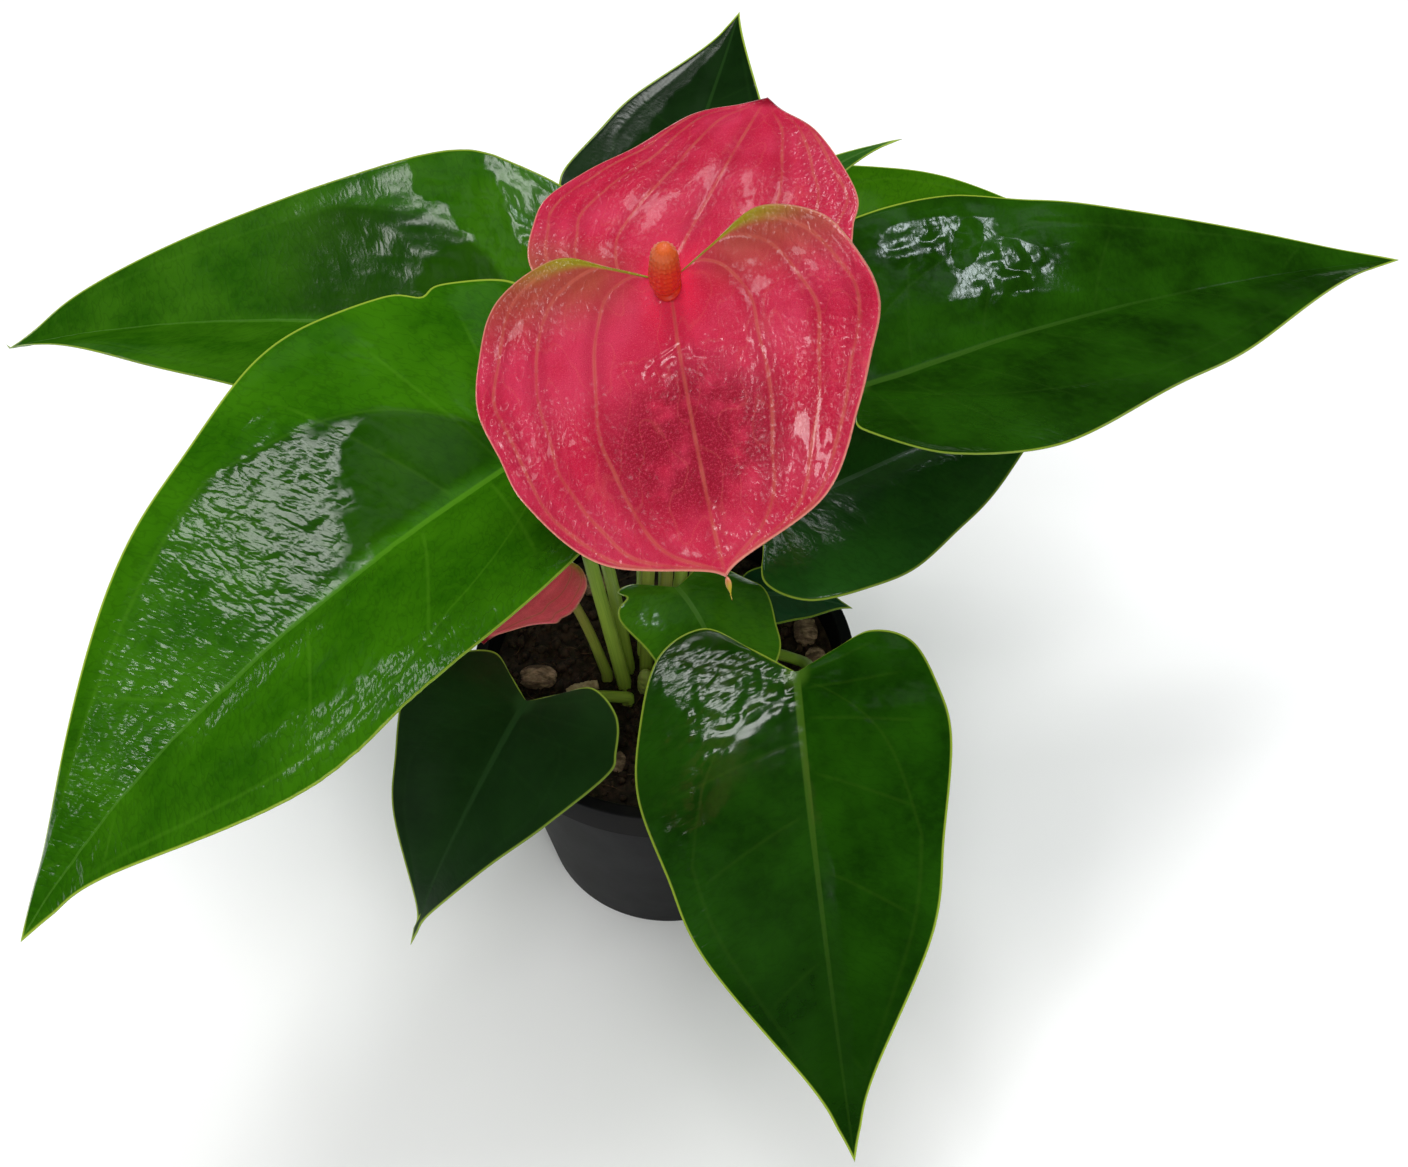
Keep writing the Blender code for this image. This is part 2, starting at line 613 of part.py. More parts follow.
def make_bark_chip(model: Model, index: int, chip: Chip, ground: BVHTree) -> None:
    """Make a rough bark chip with worn corners and lay it on the mix."""
    shape = bmesh.new()
    bmesh.ops.create_uvsphere(shape, u_segments=10, v_segments=6, radius=0.5)
    for vertex in shape.verts:
        rough = 1.0 + CHIP_ROUGHNESS * noise.noise(vertex.co * 3 + Vector((index * 7.0, 0, 0)))
        vertex.co = Vector((vertex.co.x * chip.length, vertex.co.y * chip.width, vertex.co.z * chip.height))
        vertex.co *= rough
    turn = Matrix.Rotation(math.radians(chip.heading), 3, "Z")
    place = Vector((chip.x, chip.y, MIX_TOP + DROP_HEIGHT))
    place.z -= drop_to(ground, [turn @ vertex.co + place for vertex in shape.verts])
    finish = material("bark", BARK_BROWN, 0.85)
    piece = model.add(f"bark_chip_{index}", to_mesh("bark_chip", shape), finish, place)
    piece.rotation_euler = turn.to_euler()


def make_leaf(model: Model, leaf: Leaf) -> None:
    """Make a leaf's blade and its stalk."""
    make_blade(model, leaf.blade, leaf.name + "_blade", material(leaf.name, leaf.colour, 0.3))
    make_stalk(model, leaf.stalk, leaf.blade, leaf.name + "_stalk")


def make_bloom(model: Model, bloom: Bloom) -> None:
    """Make a bloom's spathe, its stalk and its spadix."""
    make_blade(model, bloom.blade, "spathe_" + bloom.name, material("spathe_pink", SPATHE_PINK, 0.25))
    make_stalk(model, bloom.stalk, bloom.blade, "bloom_stalk_" + bloom.name)
    make_spadix(model, bloom.spadix, bloom.blade, "spadix_" + bloom.name)


def main() -> None:
    """Build the whole potted plant."""
    model = Model()
    make_pot(model)
    ground = make_potting_mix(model)
    make_crown(model)
    make_root_stub(model, ground)
    for index, chip in enumerate(BARK_CHIPS, start=1):
        make_bark_chip(model, index, chip, ground)
    for leaf in LEAVES:
        make_leaf(model, leaf)
    for bloom in BLOOMS:
        make_bloom(model, bloom)


if __name__ == "__main__":
    main()
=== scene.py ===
"""The looks of a young flamingo flower (anthurium) that grows in a plain nursery pot.

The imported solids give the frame. Each of them is made again here as a finer mesh in the same place, and a
blade has its veins, quilting and margins as real relief. Every piece gets a finish made of shader nodes.
Sizes are in millimetres and degrees, and MM turns them into metres, but the studio's are in metres. A blade
is any heart-shaped sheet of the plant: a leaf's, or the coloured spathe of a bloom.
"""

import logging
import math
from dataclasses import dataclass, field
from enum import Enum

import bmesh
import bpy
import numpy as np
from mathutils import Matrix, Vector, noise


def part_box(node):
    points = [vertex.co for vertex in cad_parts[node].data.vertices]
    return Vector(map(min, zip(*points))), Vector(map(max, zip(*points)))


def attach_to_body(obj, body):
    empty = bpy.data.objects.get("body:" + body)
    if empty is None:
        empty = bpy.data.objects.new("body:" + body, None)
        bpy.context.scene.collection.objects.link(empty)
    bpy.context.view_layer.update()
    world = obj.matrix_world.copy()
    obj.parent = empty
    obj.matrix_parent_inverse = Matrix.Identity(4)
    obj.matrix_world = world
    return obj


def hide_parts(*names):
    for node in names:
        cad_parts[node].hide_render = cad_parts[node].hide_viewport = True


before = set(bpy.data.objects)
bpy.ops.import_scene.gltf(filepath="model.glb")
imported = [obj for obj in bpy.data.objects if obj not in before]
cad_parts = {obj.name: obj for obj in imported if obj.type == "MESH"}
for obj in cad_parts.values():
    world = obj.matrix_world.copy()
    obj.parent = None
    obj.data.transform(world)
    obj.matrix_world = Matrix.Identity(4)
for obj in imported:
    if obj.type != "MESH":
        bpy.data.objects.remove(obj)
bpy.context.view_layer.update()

LOG = logging.getLogger("flamingo_flower")

MM = 0.001
BODY = "root"

POT_HEIGHT = 95.0
POT_RIM_RADIUS = 60.0
POT_FOOT_RADIUS = 43.0
POT_WALL = 1.4
POT_LIP_DEPTH = 11.0
POT_LIP_STEP = 2.6
POT_LIP_BEVEL = 0.3
POT_FLOOR_BEND = 2.0
POT_EDGE_ROUND = 0.7
POT_DRAIN_RADIUS = 4.0
POT_DRAIN_RING = 29.0
POT_DRAINS = 6

MIX_TOP = 87.0
MIX_WALL_GAP = 0.5
MIX_RELIEF = 1.6
MIX_LUMP_SIZE = 9.0
HOLE_DEPTH = 6.0
TOUCH_GAP = 0.3

# Where an outline has its waist, its taper and the start of its point, as shares of the midrib.
WAIST_AT = 0.58
TAPER_AT = 0.84
POINT_AT = 0.94
POINT_WIDTH = 0.32
SPUR_AT = 0.985
SPUR_HALF_WIDTH = 1.6
# Where the vein to each of an outline's eleven points leaves the midrib, as a share of its length.
RIB_SHARES = (0.0, 0.0, 0.0, 0.02, 0.06, 0.13, 0.25, 0.44, 0.76, 0.91, 1.0)
VEIN_BOW = 1.15
# Side veins lean this many millimetres towards the tip for each one out, and lie this share of a step on in
# the left half and back in the right one.
VEIN_SLANT = 0.35
VEIN_SHIFT = 0.25
RIPPLE_FADE = 2.5
CURL_SPAN = 50.0
TINY_CURL = 1e-4
LIFT_SPAN = 20.0
# A leaf's collective vein leaves the midrib at one row and runs this share out from the next row on.
CREST_ROWS = (0.30, 0.61)
CREST_SHARE = 0.84

STALK_UPRIGHT = 2.5
SEAT_RISE = 2.5
SEAT_FORWARD = 1.0
SPADIX_GAP = 0.45
SPADIX_NECK = 1.8
# A direction that no stalk or spadix runs along, from which the turn round it is counted.
TUBE_SIDE = (0.31, 0.95, 0.05)
CAD_LEAF_THICKNESS = 0.8
CAD_SPATHE_THICKNESS = 1.0

Place = tuple[float, float, float]
Colour = tuple[float, float, float]
Value = "Sock | float"
Places = "np.ndarray | Sock"


class Veins(Enum):
    """How a blade's side veins run: out from the midrib, or arched from the attach to the tip."""

    FEATHERED = "feathered"
    ARCHED = "arched"


@dataclass(frozen=True)
class Half:
    """One side of a blade: its width, its lobe's reach back, where it is widest, its waist and its curl."""

    width: float
    lobe: float
    widest: float = 0.20
    waist: float = 0.66
    curl: float = -3.0


@dataclass(frozen=True)
class Dent:
    """A small dent in a blade's margin: its side, where along the margin it is, its depth and its reach."""

    side: float
    at: float
    depth: float
    reach: float


@dataclass(frozen=True)
class Crease:
    """A trough along one side vein, or a ridge where depth is negative: its side, row, depth and width.

    lean is how many rows it climbs from the midrib to the margin.
    """

    side: float
    row: float
    depth: float
    width: float
    lean: float = 0.0

    def depth_at(self, grid: "Grid") -> np.ndarray:
        """Give how deep it is at each point of a grid.

        Args:
            grid: The blade's grid.

        Returns:
            The depth in millimetres.
        """
        out = np.abs(grid.column)
        gap = (grid.row - self.row - self.lean * out) * grid.reach
        return (self.depth * bell(gap, self.width) * (np.sign(grid.column) == self.side)
                * ease(out, 0.0, 0.1) * ease(out, 0.95, 0.6))


@dataclass(frozen=True)
class Patch:
    """A patch of stronger crinkles: its middle and reach in rows and columns, their size and their depth.

    lone is how much is cut off each crinkle's foot, which leaves only blisters that stand apart.
    """

    row: float
    column: float
    row_reach: float
    column_reach: float
    size: float
    depth: float
    lone: float = 0.0

    def height_at(self, grid: "Grid", lumps: "Lumps") -> np.ndarray:
        """Give how high it stands at each point of a grid.

        Args:
            grid: The blade's grid.
            lumps: The noise that its crinkles are read from.

        Returns:
            The height in millimetres.
        """
        near = bell(grid.row - self.row, self.row_reach) * bell(grid.column - self.column, self.column_reach)
        raised = np.abs(lumps.at(grid.across + 31, grid.slant * 1.6, self.size))
        return self.depth * near * np.maximum(raised - self.lone, 0)


@dataclass(frozen=True)
class Spot:
    """A calm spot of a blade, without creases: its row and column, and its reach over both.

    matt is how far its shine is gone. Where that is 0 the spot still shines, and rough is its roughness.
    """

    row: float
    column: float
    row_reach: float
    column_reach: float
    matt: float = 0.97
    rough: float = 0.15

    def offset(self, row: Places, column: Places) -> tuple[Places, Places]:
        """Give how far places are from its middle, over rows and columns, in shares of its reach."""
        return (row - self.row) / self.row_reach, (column - self.column) / self.column_reach

    def raggedness(self) -> float:
        """Give how ragged its edge is: more so where it is small, and at most three times."""
        return min(max(0.15 / self.row_reach, 1.0), 3.0)


@dataclass(frozen=True)
class Blade:
    """A heart-shaped sheet on a midrib that runs from attach to tip and is drawn towards arch.

    Left and right are as seen from the stalk looking to the tip, from above. roll and fold are angles at
    the attach and at the tip. lobe_out and taper are the widths at the lobes' ends and near the tip, as
    shares of a half's. lift is how the lobes rise, and spur the length of a thin end. wave is the rise of
    the margin's ripple, the ripples along a side and their start.
    """

    attach: Place
    arch: Place
    tip: Place
    left: Half
    right: Half
    roll: tuple[float, float] = (0.0, 0.0)
    fold: tuple[float, float] = (8.0, 4.0)
    lobe_out: float = 0.55
    taper: float = 0.20
    lift: float = 0.05
    spur: float = 0.0
    wave: tuple[float, float, float] = (0.8, 3.0, 0.0)
    thickness: float = CAD_LEAF_THICKNESS
    dents: tuple[Dent, ...] = ()


@dataclass(frozen=True)
class Stalk:
    """A stem from its hole in the mix, through route, to the underside of a blade."""

    foot: tuple[float, float]
    route: tuple[Place, ...]
    foot_radius: float = 2.2
    top_radius: float = 1.6


@dataclass(frozen=True)
class Spadix:
    """The stubby spike that stands on a spathe: which way it leans, its length and its radius."""

    lean: Place
    length: float
    radius: float


def catmull_rom(points: np.ndarray, shares: np.ndarray) -> np.ndarray:
    """Read a smooth curve through evenly keyed points.

    Args:
        points: The key points, one a row.
        shares: Where to read, from 0 at the first point to 1 at the last.

    Returns:
        One point for each share.
    """
    first = 2 * points[:1] - points[1:2]
    last = 2 * points[-1:] - points[-2:-1]
    keys = np.vstack([first, points, last])
    place = np.clip(shares * (len(points) - 1), 0, len(points) - 1 - 1e-9)
    start = place.astype(int)
    f = (place - start).reshape(-1, 1)
    a, b, c, d = (keys[start + step] for step in range(4))
    return 0.5 * (2 * b + (c - a) * f + (2 * a - 5 * b + 4 * c - d) * f**2 + (3 * b - a - 3 * c + d) * f**3)


def unit(vectors: np.ndarray) -> np.ndarray:
    """Scale each vector to length 1."""
    return vectors / np.maximum(np.linalg.norm(vectors, axis=-1, keepdims=True), 1e-12)


def bell(distance: np.ndarray, width: float) -> np.ndarray:
    """Give a smooth bump of height 1 that is about a third as high at width from its middle."""
    return np.exp(-((distance / width) ** 2))


def ease(values: np.ndarray, low: float, high: float) -> np.ndarray:
    """Rise smoothly from 0 at low to 1 at high, or fall where high is the smaller."""
    share = np.clip((values - low) / (high - low), 0, 1)
    return share * share * (3 - 2 * share)


def lengths(line: np.ndarray) -> np.ndarray:
    """Give how far along a line each of its points lies."""
    return np.concatenate([[0.0], np.cumsum(np.linalg.norm(np.diff(line, axis=0), axis=1))])


class Lumps:
    """Smooth seeded noise on a plane, from -1 to 1, read for many points at once."""

    CELLS = 256

    def __init__(self, seed: int) -> None:
        """Draw the lattice of random heights."""
        self.heights = np.random.default_rng(seed).uniform(-1, 1, (self.CELLS, self.CELLS))

    def at(self, x: np.ndarray, y: np.ndarray, size: float) -> np.ndarray:
        """Read the noise.

        Args:
            x: First coordinates.
            y: Second coordinates, in the same unit.
            size: How far apart the lumps are, in that unit.

        Returns:
            One height for each point.
        """
        i, j = np.floor(x / size).astype(int), np.floor(y / size).astype(int)
        f, g = x / size - i, y / size - j
        f = f**3 * (6 * f**2 - 15 * f + 10)
        g = g**3 * (6 * g**2 - 15 * g + 10)
        i, j = i % self.CELLS, j % self.CELLS
        k, m = (i + 1) % self.CELLS, (j + 1) % self.CELLS
        near = self.heights[i, j] * (1 - f) + self.heights[k, j] * f
        far = self.heights[i, m] * (1 - f) + self.heights[k, m] * f
        return near * (1 - g) + far * g


class Surface:
    """The middle surface of a blade, in millimetres."""

    SAMPLES = 200

    def __init__(self, blade: Blade) -> None:
        """Measure the midrib, which is a curve of three control points.

        Args:
            blade: The blade's sizes.
        """
        self.blade = blade
        attach, arch, tip = (np.array(point, float) for point in (blade.attach, blade.arch, blade.tip))
        t = np.linspace(0, 1, self.SAMPLES).reshape(-1, 1)
        self.line = (1 - t) ** 2 * attach + 2 * t * (1 - t) * arch + t**2 * tip
        self.heading = unit((1 - t) * (arch - attach) + t * (tip - arch))
        self.reach = lengths(self.line)
        self.length = self.reach[-1]

    def outline(self, half: Half) -> np.ndarray:
        """List the eleven points that shape one side's margin, from the attach round the lobe to the tip.

        Args:
            half: The side's sizes.

        Returns:
            The distance along the midrib and out from it, one row a point.
        """
        width, lobe, out = half.width, half.lobe, self.blade.lobe_out
        body = self.length - self.blade.spur
        near_tip = (POINT_AT * body, POINT_WIDTH * self.blade.taper * width)
        if self.blade.spur:
            near_tip = (SPUR_AT * body, SPUR_HALF_WIDTH)
        return np.array([
            (0.0, 0.0),
            (-0.55 * lobe, 0.5 * out * width),
            (-lobe, out * width),
            (-0.45 * lobe, (0.62 + 0.38 * out) * width),
            (0.42 * half.widest * body, 0.965 * width),
            (half.widest * body, width),
            ((half.widest + WAIST_AT) / 2 * body, (0.55 + 0.45 * half.waist) * width),
            (WAIST_AT * body, half.waist * width),
            (TAPER_AT * body, self.blade.taper * width),
            near_tip,
            (self.length, 0.0),
        ])

    def read(self, table: np.ndarray, along: np.ndarray) -> np.ndarray:
        """Read a table of vectors kept for each sample of the midrib."""
        return np.stack([np.interp(along, self.reach, table[:, axis]) for axis in range(3)], -1)

    def frame(self, along: np.ndarray) -> tuple[np.ndarray, np.ndarray, np.ndarray]:
        """Give the midrib's own axes, also behind the attach, where it runs straight on.

        Args:
            along: Distances along the midrib.

        Returns:
            The midrib's points, the directions to its left and its upward normals.
        """
        inside = np.clip(along, 0, self.length)
        ahead = unit(self.read(self.heading, inside))
        up = np.array([0.0, 0.0, 1.0])
        normal = unit(up - (ahead @ up)[:, None] * ahead)
        side = np.cross(normal, ahead)
        share = (inside / self.length)[:, None]
        roll = np.radians(self.blade.roll[0] + (self.blade.roll[1] - self.blade.roll[0]) * share)
        tipped = normal * np.cos(roll) + side * np.sin(roll)
        side = side * np.cos(roll) - normal * np.sin(roll)
        behind = np.minimum(along, 0)[:, None]
        rise = tipped * self.blade.lift * behind**2 / LIFT_SPAN
        return self.read(self.line, inside) + ahead * behind + rise, side, tipped

    def bend(self, along: np.ndarray, across: np.ndarray) -> np.ndarray:
        """Place flat points in space.

        Args:
            along: Distances along the midrib.
            across: Distances across it to the left.

        Returns:
            The points on the curved sheet.
        """
        point, side, normal = self.frame(along)
        distance = np.abs(across)
        share = np.clip(along / self.length, 0, 1)
        fold = np.radians(self.blade.fold[0] + (self.blade.fold[1] - self.blade.fold[0]) * share)
        curl = np.where(across >= 0, self.blade.left.curl, self.blade.right.curl) + TINY_CURL
        curl = np.radians(curl) / CURL_SPAN
        out = (np.sin(fold + curl * distance) - np.sin(fold)) / curl
        rise = (np.cos(fold) - np.cos(fold + curl * distance)) / curl
        return point + side * (np.sign(across) * out)[:, None] + normal * rise[:, None]

    def flat(self, row: np.ndarray, column: np.ndarray) -> tuple[np.ndarray, np.ndarray]:
        """Give grid points laid flat.

        Args:
            row: From 0 at the attach round the margin to 1 at the tip.
            column: From -1 at the right margin to 1 at the left.

        Returns:
            The distances along the midrib and across it to the left.
        """
        margin = np.where((column >= 0)[:, None], catmull_rom(self.outline(self.blade.left), row),
                          catmull_rom(self.outline(self.blade.right), row))
        for dent in self.blade.dents:
            near = bell(row - dent.at, dent.reach) * (np.sign(column) == dent.side)
            margin = margin * (1 - dent.depth * near)[:, None]
        root = np.maximum(catmull_rom(np.array(RIB_SHARES).reshape(-1, 1), row)[:, 0], 0) * self.length
        out = np.abs(column)
        return root + (margin[:, 0] - root) * out**VEIN_BOW, margin[:, 1] * column

    def points(self, row: np.ndarray, column: np.ndarray) -> np.ndarray:
        """Place grid points in space, with the margin's ripple.

        Args:
            row: From 0 at the attach round the margin to 1 at the tip.
            column: From -1 at the right margin to 1 at the left.

        Returns:
            The points on the curved sheet.
        """
        along, across = self.flat(row, column)
        rise, count, start = self.blade.wave
        ripple = np.sin(2 * math.pi * (count * row + start + np.sign(column) / 4))
        fade = np.sin(math.pi * row) * np.abs(column) ** RIPPLE_FADE
        _, _, normal = self.frame(along)
        return self.bend(along, across) + normal * (rise * ripple * fade)[:, None]

    def seat(self) -> tuple[np.ndarray, np.ndarray]:
        """Give the place just ahead of the attach where a stalk or spadix meets the blade."""
        point, _, normal = self.frame(np.array([SEAT_FORWARD]))
        return point[0], normal[0]


class Sock:
    """A node's output that can be used in plain arithmetic, where each operation adds a Math node."""

    def __init__(self, nodes: "Nodes", socket: bpy.types.NodeSocket) -> None:
        """Wrap a socket of a node in nodes."""
        self.nodes = nodes
        self.socket = socket

    def math(self, operation: str, *values: Value) -> "Sock":
        """Add a Math node on values."""
        return self.nodes.node("ShaderNodeMath", {"operation": operation}, dict(enumerate(values)))

    def __add__(self, other: Value) -> "Sock":
        """Add."""
        return self.math("ADD", self, other)

    def __radd__(self, other: float) -> "Sock":
        """Add to a number."""
        return self.math("ADD", other, self)

    def __sub__(self, other: Value) -> "Sock":
        """Subtract."""
        return self.math("SUBTRACT", self, other)

    def __rsub__(self, other: float) -> "Sock":
        """Subtract from a number."""
        return self.math("SUBTRACT", other, self)

    def __mul__(self, other: Value) -> "Sock":
        """Multiply."""
        return self.math("MULTIPLY", self, other)

    def __rmul__(self, other: float) -> "Sock":
        """Multiply a number."""
        return self.math("MULTIPLY", other, self)

    def __truediv__(self, other: Value) -> "Sock":
        """Divide."""
        return self.math("DIVIDE", self, other)

    def __abs__(self) -> "Sock":
        """Drop the sign."""
        return self.math("ABSOLUTE", self)

    def sign(self) -> "Sock":
        """Give 1 where it is above 0, and -1 where it is below."""
        return self.math("SIGN", self)

    def fract(self) -> "Sock":
        """Keep what is past the whole number."""
        return self.math("FRACT", self)

    def below(self, other: Value) -> "Sock":
        """Take the smaller."""
        return self.math("MINIMUM", self, other)

    def above(self, other: Value) -> "Sock":
        """Take the larger."""
        return self.math("MAXIMUM", self, other)

    def ease(self, low: float, high: float) -> "Sock":
        """Rise smoothly from 0 at low to 1 at high, or fall where high is the smaller.

        Args:
            low: The value that gives 0.
            high: The value that gives 1.

        Returns:
            The wrapped share.
        """
        settings = {"interpolation_type": "SMOOTHSTEP"}
        if low <= high:
            return self.nodes.node("ShaderNodeMapRange", settings, {"Value": self, 1: low, 2: high})
        return 1 - self.nodes.node("ShaderNodeMapRange", settings, {"Value": self, 1: high, 2: low})


class Nodes:
    """The node tree of one material, with its Principled shader."""

    def __init__(self, name: str) -> None:
        """Make the material, whose tree starts with a shader and an output.

        Args:
            name: The material's name.
        """
        self.material = bpy.data.materials.new(name)
        self.material.use_nodes = True
        self.tree = self.material.node_tree
        self.shader = self.tree.nodes["Principled BSDF"]

    def plug(self, port: bpy.types.NodeSocket, value: "Sock | float | Colour") -> None:
        """Link a wrapped socket to a port, or set the port's own value.

        Args:
            port: The input of a node.
            value: The link, number or colour for it.
        """
        if isinstance(value, Sock):
            self.tree.links.new(value.socket, port)
        elif port.type == "RGBA":
            port.default_value = (*value, 1.0)
        else:
            port.default_value = value

    def node(self, kind: str, settings: dict[str, str] | None = None,
             sockets: dict[int | str, "Sock | float | Colour"] | None = None, output: int | str = 0) -> Sock:
        """Add a node.

        Args:
            kind: The node's type.
            settings: Its settings, which are set first.
            sockets: The value or link of each input, by name or number.
            output: The output to hand back, by name or number.

        Returns:
            The wrapped output.
        """
        made = self.tree.nodes.new(kind)
        for key, value in (settings or {}).items():
            setattr(made, key, value)
        for key, value in (sockets or {}).items():
            self.plug(made.inputs[key], value)
        return Sock(self, made.outputs[output])

    def mix(self, share: Value, first: "Sock | Colour", second: "Sock | Colour") -> Sock:
        """Mix two colours, from the first at share 0 to the second at share 1."""
        return self.node("ShaderNodeMix", {"data_type": "RGBA"}, {0: share, 6: first, 7: second}, 2)

    def attribute(self, name: str) -> tuple[Sock, Sock, Sock]:
        """Read the three numbers that a mesh keeps at each point under a name.

        Args:
            name: The attribute's name.

        Returns:
            The three wrapped numbers.
        """
        vector = self.node("ShaderNodeAttribute", {"attribute_name": name}, output="Vector")
        split = self.tree.nodes.new("ShaderNodeSeparateXYZ")
        self.plug(split.inputs[0], vector)
        first, second, third = (Sock(self, output) for output in split.outputs)
        return first, second, third

    def place(self) -> Sock:
        """Read where a point is in its own object, in metres."""
        return self.node("ShaderNodeTexCoord", output="Object")

    def combine(self, x: Value, y: Value, z: Value = 0.0) -> Sock:
        """Make a vector of three values."""
        return self.node("ShaderNodeCombineXYZ", None, {0: x, 1: y, 2: z})

    def length(self, x: Value, y: Value) -> Sock:
        """Give the length of a flat vector."""
        return self.node("ShaderNodeVectorMath", {"operation": "LENGTH"}, {0: self.combine(x, y)}, "Value")

    def noise(self, vector: Sock, scale: float, detail: float = 2.0, roughness: float = 0.5) -> Sock:
        """Read soft noise from 0 to 1, with scale lumps to the unit."""
        return self.node("ShaderNodeTexNoise", {"noise_dimensions": "3D"},
                         {"Vector": vector, "Scale": scale, "Detail": detail, "Roughness": roughness})

    def cells(self, vector: Sock, scale: float) -> Sock:
        """Read the distance to the edges of a pattern of cells, with scale cells to the unit."""
        return self.node("ShaderNodeTexVoronoi", {"feature": "DISTANCE_TO_EDGE"},
                         {"Vector": vector, "Scale": scale})

    def bump(self, height: Sock, distance: float, strength: float = 1.0) -> Sock:
        """Turn a height of about 0 to 1 into a normal, for a relief that is distance millimetres deep."""
        return self.node("ShaderNodeBump", None,
                         {"Height": height, "Distance": distance * MM, "Strength": strength})

    def finish(self, fixed: dict[str, "float | Colour"], matt: Sock | None = None,
               **varying: Sock) -> bpy.types.Material:
        """Set the shader.

        Args:
            fixed: Values that are the same all over, by the shader's socket.
            matt: How far the surface turns to one without any shine.
            varying: Links, by the socket's name with underscores for spaces.

        Returns:
            The material.
        """
        links = {key.replace("_", " "): value for key, value in varying.items()}
        for key, value in {**fixed, **links}.items():
            self.plug(self.shader.inputs[key], value)
        if matt is not None:
            shiny = Sock(self, self.shader.outputs[0])
            dull = self.node("ShaderNodeBsdfPrincipled", None,
                             {"Base Color": links["Base Color"], "Normal": links["Normal"],
                              "Roughness": 1.0, "Specular IOR Level": 0.0})
            both = self.node("ShaderNodeMixShader", None, {0: matt, 1: shiny, 2: dull})
            self.plug(self.tree.nodes["Material Output"].inputs["Surface"], both)
        return self.material


class BladeNodes(Nodes):
    """The node tree of a blade's material, with the measures that the blade's mesh keeps at each point.

    They are those of Grid, with share for how far along the midrib a point is, and under for its lower face.
    """

    def __init__(self, name: str) -> None:
        """Make the material and read the measures.

        Args:
            name: The material's name.
        """
        super().__init__(name)
        self.across, self.along, self.edge = self.attribute("flat")
        self.share, self.column, self.under = self.attribute("share")
        self.row, self.reach, self.spread = self.attribute("vein")


